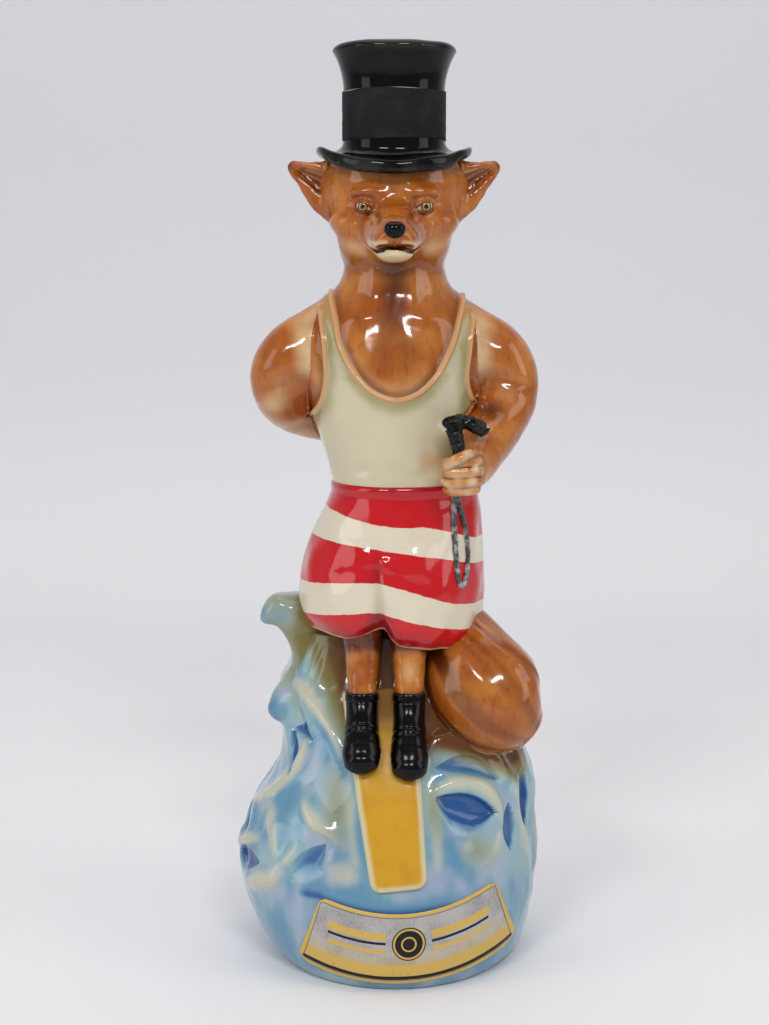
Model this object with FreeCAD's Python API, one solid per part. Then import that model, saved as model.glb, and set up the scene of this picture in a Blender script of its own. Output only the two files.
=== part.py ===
"""Figural porcelain decanter: a dressed fox standing on a board that runs down the front of a wave.

The fox's top hat is the stopper: its crown carries the cork and lifts straight out of the neck.
Millimetres, +Z up, the figure faces -Y, and the origin is the middle of the foot on the table.
"""

import FreeCAD, Part
import math
import os

Vector = FreeCAD.Vector

# Porcelain
WALL = 4.0
RELIEF_SINK = 3.0
CUT_OVERRUN = 5.0
JOIN_TOLERANCE = 0.001
LAYER_GAP = 0.12
PASSAGE_RADIUS = 15.0
PASSAGE_BACK = 7.0

# Wave base: reach of the wave from the middle to each side
BASE_HEIGHT = 118.0
BASE_LEFT = 57.5
BASE_RIGHT = 52.0
BASE_FRONT = 52.0
BASE_BACK = 51.5
FLOOR_THICKNESS = 5.0
FOOT_RING_WIDTH = 7.0
FOOT_RECESS_DEPTH = 2.0
# Rows: height, left, right, front, back
base_shares = [
    (0.00, 0.75, 0.85, 0.92, 0.86),
    (0.03, 0.81, 0.91, 0.97, 0.92),
    (0.10, 0.89, 0.96, 1.00, 0.97),
    (0.21, 0.97, 0.99, 0.98, 1.00),
    (0.32, 1.00, 1.00, 0.93, 0.99),
    (0.44, 0.92, 1.00, 0.86, 0.97),
    (0.55, 0.78, 0.99, 0.78, 0.94),
    (0.65, 0.70, 0.92, 0.67, 0.90),
    (0.76, 0.71, 0.80, 0.52, 0.86),
    (0.87, 0.64, 0.66, 0.36, 0.79),
    (1.00, 0.55, 0.54, 0.25, 0.70),
]

# Flowing forms of the water: ridges stand out of the wave, and hollows go into it
RIDGE_HEIGHT = 2.4
RIDGE_WIDTH = 4.0
HOLLOW_DEPTH = 2.4
HOLLOW_WIDTH = 5.0
FORM_FADE = 10.0
# Rows: share of the height and of the width, then places: degrees from the front, share of the base height
ridge_shares = [
    (1.00, 0.78, [(6, 0.686), (17, 0.716), (27, 0.725), (40, 0.703), (51, 0.657), (57, 0.585)]),
    (0.92, 0.62, [(12, 0.525), (16, 0.581), (24, 0.602), (31, 0.602), (40, 0.572), (45, 0.517), (46, 0.449)]),
    (0.50, 0.75, [(46, 0.475), (44.5, 0.424), (39, 0.373), (31, 0.343), (23, 0.326)]),
    (1.00, 0.90, [(60, 0.619), (58, 0.525), (61, 0.441), (68, 0.305), (74, 0.136)]),
    (0.79, 0.90, [(80, 0.559), (77, 0.441), (80, 0.305), (88, 0.136)]),
    (1.00, 0.75, [(-78, 0.847), (-64, 0.847), (-52, 0.822), (-41, 0.788), (-31, 0.729), (-26, 0.644)]),
    (0.83, 0.80, [(-48, 0.729), (-53, 0.644), (-64, 0.555), (-74, 0.500), (-88, 0.466)]),
    (0.62, 0.80, [(-74, 0.500), (-60, 0.475), (-54, 0.441), (-48, 0.373), (-46, 0.288)]),
    (0.79, 0.60, [(-96, 0.339), (-76, 0.360), (-66, 0.381), (-56, 0.411)]),
    (0.67, 0.65, [(-70, 0.237), (-58, 0.271), (-47, 0.305), (-41, 0.364), (-37, 0.415)]),
    (0.83, 0.65, [(-46, 0.568), (-41, 0.517), (-33, 0.475), (-24, 0.449), (-20.5, 0.424)]),
    (0.92, 0.75, [(98, 0.712), (112, 0.771), (130, 0.780), (146, 0.712), (154, 0.593)]),
    (0.92, 0.75, [(94, 0.475), (110, 0.542), (130, 0.542), (146, 0.466), (152, 0.356)]),
    (0.83, 0.75, [(158, 0.746), (176, 0.822), (196, 0.814), (212, 0.729), (218, 0.593)]),
    (0.92, 0.75, [(156, 0.390), (172, 0.483), (194, 0.492), (210, 0.407), (216, 0.288)]),
    (0.83, 0.75, [(222, 0.780), (236, 0.831), (250, 0.805), (262, 0.712)]),
    (0.88, 0.75, [(220, 0.508), (234, 0.568), (250, 0.551), (262, 0.458)]),
    (0.71, 0.75, [(106, 0.237), (124, 0.314), (144, 0.305), (162, 0.203)]),
    (0.71, 0.75, [(170, 0.186), (190, 0.271), (212, 0.263), (228, 0.169)]),
    (0.71, 0.75, [(232, 0.254), (246, 0.331), (262, 0.305)]),
]
hollow_shares = [
    (0.83, 0.68, [(18, 0.644), (30, 0.653), (38, 0.640), (47, 0.589)]),
    (1.08, 1.12, [(16.5, 0.564), (26, 0.541), (34, 0.522), (43.5, 0.497)]),
    (0.62, 0.64, [(52, 0.517), (52.5, 0.449), (53, 0.373)]),
    (1.00, 0.96, [(70, 0.593), (66, 0.517), (66.5, 0.407)]),
    (1.00, 1.04, [(-92, 0.831), (-74, 0.788), (-60, 0.763), (-46, 0.703)]),
    (0.67, 0.88, [(-67, 0.729), (-62, 0.669), (-58, 0.585)]),
    (1.00, 0.88, [(-98, 0.441), (-84, 0.403), (-73, 0.377)]),
    (1.00, 0.92, [(-86, 0.297), (-70, 0.329), (-57, 0.327)]),
    (0.54, 1.00, [(-40, 0.305), (-33, 0.373), (-27, 0.424)]),
    (1.00, 1.00, [(100, 0.661), (114, 0.712), (130, 0.712), (146, 0.627)]),
    (1.00, 1.00, [(98, 0.407), (112, 0.475), (130, 0.466), (144, 0.390)]),
    (0.92, 0.92, [(160, 0.678), (178, 0.754), (196, 0.746), (212, 0.644)]),
    (1.00, 1.00, [(160, 0.322), (176, 0.407), (194, 0.407), (208, 0.322)]),
    (0.92, 0.88, [(226, 0.729), (240, 0.771), (256, 0.729)]),
    (1.00, 0.92, [(224, 0.441), (238, 0.492), (256, 0.441)]),
    (0.75, 0.76, [(112, 0.186), (126, 0.246), (146, 0.220)]),
    (0.75, 0.76, [(178, 0.136), (194, 0.195), (212, 0.186)]),
    (0.75, 0.76, [(236, 0.203), (250, 0.263), (264, 0.237)]),
]

# Breaking crest on the left of the wave
CREST_THICKNESS = 9.0
# Rows: left, back, height of the base, and thickness
crest_shares = [
    (0.38, 0.24, 0.66, 1.55),
    (0.50, 0.20, 0.80, 1.35),
    (0.57, 0.16, 0.93, 1.18),
    (0.63, 0.12, 1.02, 0.98),
    (0.72, 0.08, 1.055, 0.76),
    (0.79, 0.06, 1.035, 0.46),
]

# Second, smaller curl below the crest
CURL_THICKNESS = 7.0
curl_shares = [
    (0.46, 0.02, 0.72, 1.35),
    (0.58, -0.02, 0.76, 1.10),
    (0.67, -0.04, 0.78, 0.85),
    (0.74, -0.06, 0.76, 0.45),
]

# Board on the front slope
BOARD_TOP_WIDTH = 22.5
BOARD_TIP_WIDTH = 19.0
BOARD_RAISE = 2.2
BOARD_TIP_RADIUS = 4.0
BOARD_TOP_SHIFT = -3.0
BOARD_TIP_SHIFT = 1.8
board_top_share = 0.85
board_tip_share = 0.305
board_station_count = 6

# Bathing trunks
TRUNKS_HEIGHT = 55.0
TRUNKS_LEFT = 34.5
TRUNKS_RIGHT = 33.0
TRUNKS_FRONT = 33.0
TRUNKS_BACK = 31.0
LEG_CREASE_DEPTH = 3.2
LEG_CREASE_WIDTH = 5.0
LEG_CREASE_SHIFT = -6.0
crease_top_share = 0.60
trunks_shares = [
    (0.00, 0.93, 0.88, 0.88, 0.84),
    (0.07, 0.98, 0.95, 0.96, 0.92),
    (0.22, 1.00, 0.98, 1.00, 1.00),
    (0.45, 0.94, 1.00, 0.98, 1.00),
    (0.70, 0.80, 0.97, 0.90, 0.90),
    (0.88, 0.68, 0.93, 0.82, 0.80),
    (1.00, 0.62, 0.92, 0.79, 0.76),
]

# Torso and neck: its first row is the top of the trunks
TORSO_HEIGHT = 77.0
TORSO_HALF_WIDTH = 31.0
TORSO_FRONT = 26.0
TORSO_BACK = 24.0
NECK_HALF_WIDTH = 17.7
NECK_FRONT = 17.7
NECK_BACK = 16.8
torso_shares = [
    (0.15, 0.80, 0.93, 1.00, 0.97),
    (0.35, 0.93, 0.94, 1.02, 1.00),
    (0.55, 1.00, 1.00, 1.00, 1.00),
    (0.70, 0.98, 0.98, 0.91, 0.97),
    (0.80, 0.85, 0.85, 0.81, 0.90),
]
neck_start_share = 0.89
neck_flare_shares = (1.16, 1.16, 1.04, 1.10)

# Bathing vest, a raised layer on the chest and back
VEST_RAISE = 0.8
VEST_NECK_DROP = 42.0
VEST_NECK_WIDTH = 45.0
scoop_bow_share = 0.72

# Arms: shoulder place, thickness
SHOULDER_HALF_SPAN = 39.5
ARM_RADIUS = 13.0
FIST_RADIUS = 8.4
# Rows: side, front, height above the waist, thickness
left_arm_shares = [
    (0.45, 0.00, 0.80, 0.38),
    (0.68, 0.00, 0.71, 0.69),
    (0.89, 0.00, 0.60, 0.92),
    (1.00, 0.00, 0.49, 0.94),
    (1.01, 0.08, 0.39, 0.86),
    (0.93, 0.31, 0.29, 0.76),
    (0.80, 0.69, 0.195, 0.68),
    (0.68, 1.08, 0.115, 0.61),
    (0.63, 1.26, 0.09, 0.58),
]
right_arm_shares = [
    (0.45, 0.00, 0.80, 0.38),
    (0.68, 0.00, 0.71, 0.69),
    (0.89, 0.00, 0.60, 0.92),
    (1.00, -0.03, 0.50, 0.94),
    (1.00, -0.16, 0.42, 0.87),
    (0.92, -0.42, 0.35, 0.78),
    (0.70, -0.75, 0.29, 0.70),
    (0.45, -0.95, 0.25, 0.64),
    (0.22, -1.00, 0.23, 0.58),
    (0.06, -1.02, 0.215, 0.30),
]

# Riding crop in the left fist
CROP_RADIUS = 2.5
CROP_RISE = 16.5
CROP_HOOK = 9.0
LASH_RADIUS = 1.2
LASH_LENGTH = 34.0
LASH_WIDTH = 6.5
LASH_SIDE = 24.0
lash_bend_share = 0.45
lash_knee_share = 0.22
fist_set_share = 0.25
crop_head_share = 1.2

# Legs and boots: their lengths follow the height of the wave that they stand on
leg_length_share = 0.144
LEG_LENGTH = leg_length_share * BASE_HEIGHT
LEG_RADIUS = 5.6
LEFT_LEG_SIDE = 5.3
RIGHT_LEG_SIDE = -11.3
LEG_DEPTH = 20.5
LEG_SLOPE = 5.0
# Rows: share of the leg's length down, of its slope forward, and thickness
leg_shares = [
    (-0.18, 0.00, 1.12),
    (0.45, 0.35, 1.00),
    (1.00, 1.00, 0.92),
]
boot_length_share = 0.208
BOOT_LENGTH = boot_length_share * BASE_HEIGHT
BOOT_RADIUS = 5.8
BOOT_TOE_FORWARD = 17.0
left_boot_drop_share = 0.021
LEFT_BOOT_DROP = left_boot_drop_share * BASE_HEIGHT
# Rows: share of the boot's length down, of the toe's way forward, and thickness across and in depth
boot_shares = [
    (0.00, 0.00, 0.96, 1.00),
    (0.10, 0.02, 0.98, 1.00),
    (0.30, 0.12, 0.97, 1.05),
    (0.50, 0.30, 1.03, 1.15),
    (0.68, 0.54, 1.13, 1.10),
    (0.84, 0.78, 1.08, 0.92),
    (0.95, 0.94, 0.78, 0.66),
    (1.00, 1.00, 0.30, 0.28),
]

# Tail lying over the wave on the right
TAIL_RADIUS = 19.0
# Rows: share of the base's right reach, of its back reach and of its height, and thickness
tail_shares = [
    (0.25, 0.27, 1.03, 0.53),
    (0.40, 0.08, 0.99, 0.71),
    (0.54, -0.08, 0.93, 0.84),
    (0.655, -0.19, 0.85, 0.97),
    (0.73, -0.25, 0.77, 1.00),
    (0.81, -0.26, 0.70, 0.82),
    (0.875, -0.25, 0.65, 0.45),
    (0.90, -0.25, 0.63, 0.13),
]

# Head
HEAD_HEIGHT = 34.0
HEAD_HALF_WIDTH = 23.5
HEAD_FRONT = 22.0
HEAD_BACK = 23.0
head_shares = [
    (0.15, 0.82, 0.82, 0.95, 0.83),
    (0.40, 0.89, 0.89, 1.00, 0.95),
    (0.65, 0.96, 0.96, 1.00, 1.00),
    (0.85, 1.00, 1.00, 0.97, 1.00),
    (1.00, 0.97, 0.97, 0.92, 0.97),
]
# Rows of the space inside the head: share of the height, and of the way from the neck's bore to the wall
head_room_shares = [(0.00, 1.00), (0.30, 1.00), (0.58, 0.90), (0.78, 0.35), (0.92, -0.25)]
bore_start_share = 0.55
MUZZLE_LENGTH = 22.0
MUZZLE_RADIUS = 12.5
MUZZLE_HEIGHT = 12.0
# Rows: share of the muzzle's length, drop as a share of its radius, half width and half height shares
muzzle_shares = [
    (-0.50, -0.10, 1.05, 0.95),
    (0.05, 0.00, 1.00, 0.92),
    (0.45, 0.10, 0.82, 0.74),
    (0.78, 0.16, 0.62, 0.56),
    (0.94, 0.16, 0.48, 0.46),
    (1.02, 0.14, 0.30, 0.28),
    (1.06, 0.13, 0.10, 0.10),
]

# Ears
EAR_REACH = 14.0
EAR_WIDTH = 12.0
EAR_THICKNESS = 8.0
EAR_CUP = 3.0
ear_height_share = 0.76
# Rows: share of the reach outwards, rise as a share of the reach, width and thickness shares
ear_shares = [
    (-0.35, -0.24, 1.00, 1.00),
    (0.10, 0.04, 1.00, 0.95),
    (0.45, 0.33, 0.78, 0.72),
    (0.78, 0.62, 0.42, 0.46),
    (1.00, 0.84, 0.12, 0.20),
]

# Hat: brim and collar belong to the body, crown and cork to the stopper
COLLAR_RADIUS = 18.0
COLLAR_HEIGHT = 16.0
BRIM_RADIUS = 27.5
BRIM_THICKNESS = 3.2
BRIM_BEND_RADIUS = 80.0
brim_round_share = 0.42
COLLAR_FILLET = 3.5
CROWN_HEIGHT = 28.5
CROWN_TOP_RADIUS = 21.7
CROWN_SKIRT = 11.0
CROWN_EDGE = 4.0
CROWN_DOME = 1.6
crown_edge_share = 0.22

# Neck and cork
NECK_BORE_RADIUS = 10.0
CORK_LENGTH = 22.0
CORK_GLUED_LENGTH = 9.0
CORK_TAPER = 0.6
CORK_CHAMFER = 1.0
CORK_CLEARANCE = 0.15

# Seal band over the joint of the hat
BAND_THICKNESS = 0.3
BAND_RISE = 5.0
BAND_CLEARANCE = 0.12

# Foil label round the foot
LABEL_THICKNESS = 0.4
LABEL_TOP_WIDTH = 63.0
LABEL_FOOT_WIDTH = 76.5
LABEL_HEIGHT = 25.0
LABEL_LIFT = 9.6
LABEL_SAG = 6.0
LABEL_SHIFT = 5.0
LABEL_TILT = 3.0

OUTLINE_POINTS = 28
WAVE_COLUMNS = 80
WAVE_ROWS = 31
LOFT_DEGREE = 3
LIMB_POINTS = 14

# Heights of the joints between the castings
WAIST_Z = BASE_HEIGHT + TRUNKS_HEIGHT
NECK_Z = WAIST_Z + TORSO_HEIGHT
HAT_Z = NECK_Z + HEAD_HEIGHT
SEAM_Z = HAT_Z + COLLAR_HEIGHT


def smooth_wire(points):
    """A closed smooth outline through the points."""
    curve = Part.BSplineCurve()
    curve.interpolate(points, PeriodicFlag=True)
    return Part.Wire([curve.toShape()])


def oval_point(angle, left, right, front, back):
    """A point of an oval whose four reaches differ."""
    across, along = math.cos(angle), math.sin(angle)
    x = across * (right if across > 0 else left)
    y = along * (back if along > 0 else front)
    return x, y


def oval(z, reaches, pushed=None):
    """A closed outline at height z; pushed gives how far each of its points moves outwards."""
    points = []
    for i in range(OUTLINE_POINTS):
        angle = 2 * math.pi * i / OUTLINE_POINTS
        x, y = oval_point(angle, *reaches)
        if pushed:
            out = 1 + pushed(angle, x, y) / math.hypot(x, y)
            x, y = x * out, y * out
        points.append(Vector(x, y, z))
    return smooth_wire(points)


def stack(rows, grow=0.0, pushed=None):
    """A solid through outlines at rising heights; rows hold a height and four reaches."""
    wires = []
    for z, *reaches in rows:
        grown = [reach + grow for reach in reaches]
        wires.append(oval(z, grown, pushed and pushed(z)))
    return Part.makeLoft(wires, True, False, False, LOFT_DEGREE)


def scaled_rows(shares, start, height, reaches):
    """Rows of a table of shares at their real size."""
    return [(start + row[0] * height, *[s * r for s, r in zip(row[1:], reaches)]) for row in shares]


def row_at(rows, z):
    """The four reaches at a height, between the two rows round it."""
    for low, high in zip(rows, rows[1:]):
        if z <= high[0]:
            share = max(0.0, (z - low[0]) / (high[0] - low[0]))
            return [a + share * (b - a) for a, b in zip(low[1:], high[1:])]
    return list(rows[-1][1:])


def front_of(rows, x, z):
    """How far in front of the middle the surface of a stack of ovals is, at a place seen from the front."""
    left, right, front, _ = row_at(rows, z)
    reach = right if x > 0 else left
    return front * math.sqrt(max(0.0, 1 - (x / reach) ** 2))


def limb(stations, side=Vector(0, 1, 0)):
    """A solid along a path: stations hold a centre, a half thickness along side and one across it."""
    wires = []
    last = len(stations) - 1
    for i, (centre, along, across) in enumerate(stations):
        way = stations[min(i + 1, last)][0] - stations[max(i - 1, 0)][0]
        way.normalize()
        side = side - way * side.dot(way)
        side.normalize()
        second = way.cross(side)
        points = []
        for k in range(LIMB_POINTS):
            angle = 2 * math.pi * k / LIMB_POINTS
            points.append(centre + side * (along * math.cos(angle)) + second * (across * math.sin(angle)))
        wires.append(smooth_wire(points))
    return Part.makeLoft(wires, True, False, False, LOFT_DEGREE)


def without(shape, *others):
    """The shape with its neighbours taken out of it, as its largest solid."""
    for other in others:
        cut = shape.cut(other)
        if not cut.Solids:
            cut = shape.cut([other], JOIN_TOLERANCE)
        shape = max(cut.Solids, key=lambda solid: solid.Volume)
    return shape


def revolved(outline):
    """A round solid about the Z axis from points of radius and height."""
    points = [Vector(radius, 0, z) for radius, z in outline]
    face = Part.Face(Part.makePolygon(points + points[:1]))
    return face.revolve(Vector(0, 0, 0), Vector(0, 0, 1), 360).Solids[0]


def base_rows():
    """Outlines of the wave base."""
    return scaled_rows(base_shares, 0.0, BASE_HEIGHT, (BASE_LEFT, BASE_RIGHT, BASE_FRONT, BASE_BACK))


def eased(low, high, value):
    """0 below low, 1 above high, and a smooth step between."""
    share = min(1.0, max(0.0, (value - low) / (high - low)))
    return share * share * (3 - 2 * share)


def nearest(places, degrees, z):
    """Distance of a place on the wave from a line drawn on it, and the share of the line that is nearest."""
    degree = math.radians(1) * BASE_FRONT
    best = (math.inf, 0.0)
    for turns in (-360, 0, 360):
        for i, (first, second) in enumerate(zip(places, places[1:])):
            across = (second[0] - first[0]) * degree
            up = (second[1] - first[1]) * BASE_HEIGHT
            x = (degrees + turns - first[0]) * degree
            rise = z - first[1] * BASE_HEIGHT
            share = min(1.0, max(0.0, (x * across + rise * up) / (across * across + up * up)))
            gap = math.hypot(x - share * across, rise - share * up)
            best = min(best, (gap, (i + share) / (len(places) - 1)))
    return best


def form_fade(x, y, z):
    """The flowing forms die out at the foot, at the seat, under the board and under the label."""
    ends = eased(0, FORM_FADE, z) * eased(0, FORM_FADE, BASE_HEIGHT - z)
    if y > 0:
        return ends
    beside_board = abs(x - (BOARD_TOP_SHIFT + BOARD_TIP_SHIFT) / 2) - BOARD_TOP_WIDTH / 2
    beside_label = abs(x - LABEL_SHIFT) - LABEL_FOOT_WIDTH / 2
    above_label = z - LABEL_LIFT - LABEL_HEIGHT
    off_label = eased(0, FORM_FADE, max(beside_label, above_label))
    return ends * off_label * eased(0, FORM_FADE / 2, beside_board)


def wave_form(degrees, z):
    """How far the flowing forms stand out of the wave at a place on it, less than zero in a hollow."""
    height = 0.0
    for tall, wide, places in ridge_shares:
        gap, share = nearest(places, degrees, z)
        ends = math.sqrt(max(0.0, math.sin(math.pi * share)))
        height += tall * RIDGE_HEIGHT * ends * math.exp(-((gap / (wide * RIDGE_WIDTH)) ** 2))
    for deep, wide, places in hollow_shares:
        gap, share = nearest(places, degrees, z)
        half = wide * HOLLOW_WIDTH * max(JOIN_TOLERANCE, math.sin(math.pi * share))
        height -= deep * HOLLOW_DEPTH * eased(0, 1, 1 - (gap / half) ** 2)
    return height


def smooth_rows(rows, count):
    """Rows evenly spaced in height, on smooth curves through the given rows."""
    last = len(rows) - 1
    slopes = []
    for i in range(len(rows)):
        low, high = rows[max(i - 1, 0)], rows[min(i + 1, last)]
        slopes.append([(b - a) / (high[0] - low[0]) for a, b in zip(low[1:], high[1:])])
    smooth = []
    for k in range(count):
        z = rows[0][0] + (rows[-1][0] - rows[0][0]) * k / (count - 1)
        i = max(n for n in range(last) if rows[n][0] <= z)
        span = rows[i + 1][0] - rows[i][0]
        t = (z - rows[i][0]) / span
        near, far = (1 - t) ** 2, t * t
        weights = ((1 + 2 * t) * near, (3 - 2 * t) * far, span * t * near, span * (t - 1) * far)
        columns = zip(rows[i][1:], rows[i + 1][1:], slopes[i], slopes[i + 1])
        smooth.append((z, *[sum(w * v for w, v in zip(weights, column)) for column in columns]))
    return smooth


def wave_skin(grow=0.0, formed=True):
    """The wave as a solid: one smooth surface through ovals that the forms move, closed by flat ends."""
    grid = []
    for z, *reaches in smooth_rows(base_rows(), WAVE_ROWS):
        line = []
        for i in range(WAVE_COLUMNS):
            angle = math.pi / 2 + 2 * math.pi * i / WAVE_COLUMNS
            x, y = oval_point(angle, *[reach + grow for reach in reaches])
            fade = form_fade(x, y, z) if formed else 0.0
            out = 1.0
            if fade > 0:
                out += fade * wave_form(math.degrees(angle) % 360 + 90, z) / math.hypot(x, y)
            line.append(Vector(x * out, y * out, z))
        grid.append(line)
    clamped = [LOFT_DEGREE + 1] + [1] * (WAVE_ROWS - LOFT_DEGREE - 1) + [LOFT_DEGREE + 1]
    round_knots = [1] * (WAVE_COLUMNS + 1)
    surface = Part.BSplineSurface()
    surface.buildFromPolesMultsKnots(
        grid,
        clamped,
        round_knots,
        range(len(clamped)),
        range(len(round_knots)),
        False,
        True,
        LOFT_DEGREE,
        LOFT_DEGREE,
    )
    side = surface.toShape()
    ends = [Part.Face(Part.Wire([edge])) for edge in side.Edges if edge.isClosed()]
    shell = Part.makeShell([side] + ends)
    shell.sewShape()
    return Part.makeSolid(shell)


def trunks_rows():
    """Outlines of the trunks."""
    reaches = (TRUNKS_LEFT, TRUNKS_RIGHT, TRUNKS_FRONT, TRUNKS_BACK)
    return scaled_rows(trunks_shares, BASE_HEIGHT, TRUNKS_HEIGHT, reaches)


def leg_crease(z):
    """The fold between the two legs of the trunks, deepest at the hem."""
    share = (z - BASE_HEIGHT) / TRUNKS_HEIGHT
    depth = LEG_CREASE_DEPTH * max(0.0, 1 - share / crease_top_share)

    def pushed(angle, x, y):
        if y > 0:
            return 0.0
        return -depth * math.exp(-(((x - LEG_CREASE_SHIFT) / LEG_CREASE_WIDTH) ** 2))

    return pushed


def torso_rows():
    """Outlines of the torso, from the waist of the trunks to the top of the neck."""
    reaches = (TORSO_HALF_WIDTH, TORSO_HALF_WIDTH, TORSO_FRONT, TORSO_BACK)
    neck = (NECK_HALF_WIDTH, NECK_HALF_WIDTH, NECK_FRONT, NECK_BACK)
    flare = [share * reach for share, reach in zip(neck_flare_shares, neck)]
    waist = [(WAIST_Z, *trunks_rows()[-1][1:])]
    chest = scaled_rows(torso_shares, WAIST_Z, TORSO_HEIGHT, reaches)
    throat = [(WAIST_Z + neck_start_share * TORSO_HEIGHT, *flare), (NECK_Z, *neck)]
    return waist + chest + throat


def head_rows():
    """Outlines of the head, from the top of the neck to the underside of the hat."""
    reaches = (HEAD_HALF_WIDTH, HEAD_HALF_WIDTH, HEAD_FRONT, HEAD_BACK)
    return [torso_rows()[-1]] + scaled_rows(head_shares, NECK_Z, HEAD_HEIGHT, reaches)


def hollow(rows, start, end, pushed=None):
    """The space inside a casting, one wall in from its outside, between two heights."""
    heights = [start] + [row[0] for row in rows if start < row[0] < end] + [end]
    return stack([(z, *row_at(rows, z)) for z in heights], grow=-WALL, pushed=pushed)


def passage():
    """The way from the base into the trunks."""
    half = WALL + CUT_OVERRUN
    return Part.makeCylinder(PASSAGE_RADIUS, 2 * half, Vector(0, PASSAGE_BACK, BASE_HEIGHT - half))


def make_wave_base(envelope):
    """Hollow base with a foot ring, closed under the trunks except for the passage."""
    rows = base_rows()
    inside = hollow(rows, FLOOR_THICKNESS + FOOT_RECESS_DEPTH, BASE_HEIGHT - WALL)
    foot = rows[0][1:]
    recess = stack([(-CUT_OVERRUN, *foot), (FOOT_RECESS_DEPTH, *foot)], grow=-FOOT_RING_WIDTH)
    return without(envelope, inside, recess, passage())


def wave_horn(shares, thickness):
    """A curl of water that leaves the wave on its left."""
    stations = []
    for left, back, up, share in shares:
        centre = Vector(-left * BASE_LEFT, back * BASE_BACK, up * BASE_HEIGHT)
        stations.append((centre, share * thickness, share * thickness))
    return limb(stations)


def make_board():
    """A board with a rounded tip that lies on the front slope of the wave."""
    rows = base_rows()
    places = []
    for i in range(board_station_count):
        share = i / (board_station_count - 1)
        z = (board_top_share + share * (board_tip_share - board_top_share)) * BASE_HEIGHT
        x = BOARD_TOP_SHIFT + share * (BOARD_TIP_SHIFT - BOARD_TOP_SHIFT)
        half = (BOARD_TOP_WIDTH + share * (BOARD_TIP_WIDTH - BOARD_TOP_WIDTH)) / 2
        places.append((Vector(x, -front_of(rows, 0.0, z), z), half))
    down = places[-1][0] - places[0][0]
    down.normalize()
    across = Vector(1, 0, 0) - down * down.x
    across.normalize()
    out = across.cross(down)
    if out.y > 0:
        out = out * -1
    wires = []
    for middle, half in places:
        corners = [
            middle - across * half - out * RELIEF_SINK,
            middle + across * half - out * RELIEF_SINK,
            middle + across * half + out * BOARD_RAISE,
            middle - across * half + out * BOARD_RAISE,
        ]
        wires.append(Part.makePolygon(corners + corners[:1]))
    slab = Part.makeLoft(wires, True, False, False, LOFT_DEGREE)
    middle = (places[0][0] + places[-1][0]) / 2
    tip_edges = []
    for edge in slab.Edges:
        ends = [vertex.Point for vertex in edge.Vertexes]
        upright = (ends[1] - ends[0]).cross(out).Length < JOIN_TOLERANCE
        if upright and (ends[0] - middle).dot(down) > 0:
            tip_edges.append(edge)
    return slab.makeFillet(BOARD_TIP_RADIUS, tip_edges)


def make_arm(shares, side):
    """An arm along its table of places; side is 1 on the figure's left and -1 on its right."""
    stations = []
    for out, front, up, share in shares:
        place = Vector(side * out * SHOULDER_HALF_SPAN, -front * TORSO_FRONT, WAIST_Z + up * TORSO_HEIGHT)
        stations.append((place, share * ARM_RADIUS, share * ARM_RADIUS))
    return limb(stations)


def fist_centre():
    """Where the left hand closes on the crop."""
    out, front, up, _ = left_arm_shares[-1]
    wrist = Vector(out * SHOULDER_HALF_SPAN, -front * TORSO_FRONT, WAIST_Z + up * TORSO_HEIGHT)
    set_in = fist_set_share * FIST_RADIUS
    return wrist - Vector(set_in, set_in, 0)


def make_leg(side):
    """A leg from the seat of the trunks down to the top of its boot."""
    stations = []
    for down, forward, thick in leg_shares:
        centre = Vector(side, -LEG_DEPTH - forward * LEG_SLOPE, BASE_HEIGHT - down * LEG_LENGTH)
        stations.append((centre, thick * LEG_RADIUS, thick * LEG_RADIUS))
    return limb(stations)


def make_boot(side, drop):
    """A boot: a shaft that bends into a foot pointing down the board."""
    top = Vector(side, -LEG_DEPTH - LEG_SLOPE, BASE_HEIGHT - LEG_LENGTH)
    stations = []
    for down, forward, wide, deep in boot_shares:
        centre = top + Vector(0, -forward * BOOT_TOE_FORWARD, -down * (BOOT_LENGTH + drop))
        stations.append((centre, deep * BOOT_RADIUS, wide * BOOT_RADIUS))
    return limb(stations)


def make_tail():
    """A full brush of a tail from the seat of the trunks to the right of the wave."""
    stations = []
    for right, back, up, share in tail_shares:
        centre = Vector(right * BASE_RIGHT, back * BASE_BACK, up * BASE_HEIGHT)
        stations.append((centre, share * TAIL_RADIUS, share * TAIL_RADIUS))
    return limb(stations)


def make_vest():
    """The raised layer of cloth on the torso, scooped at the neck."""
    depth = TORSO_FRONT + TORSO_BACK + 2 * CUT_OVERRUN
    half = VEST_NECK_WIDTH / 2
    bow_x = scoop_bow_share * half
    bow_z = NECK_Z - scoop_bow_share * VEST_NECK_DROP
    edge = [(-half, NECK_Z), (-bow_x, bow_z), (0, NECK_Z - VEST_NECK_DROP), (bow_x, bow_z), (half, NECK_Z)]
    points = [Vector(x, -depth / 2, z) for x, z in edge]
    scoop = Part.BSplineCurve()
    scoop.interpolate(points)
    top = Part.makePolygon([points[-1], points[0]])
    neck_hole = Part.Face(Part.Wire([scoop.toShape(), top.Edges[0]])).extrude(Vector(0, depth, 0))
    inside = stack(torso_rows(), grow=LAYER_GAP)
    outside = stack(torso_rows(), grow=LAYER_GAP + VEST_RAISE)
    return without(outside, inside, neck_hole)


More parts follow.
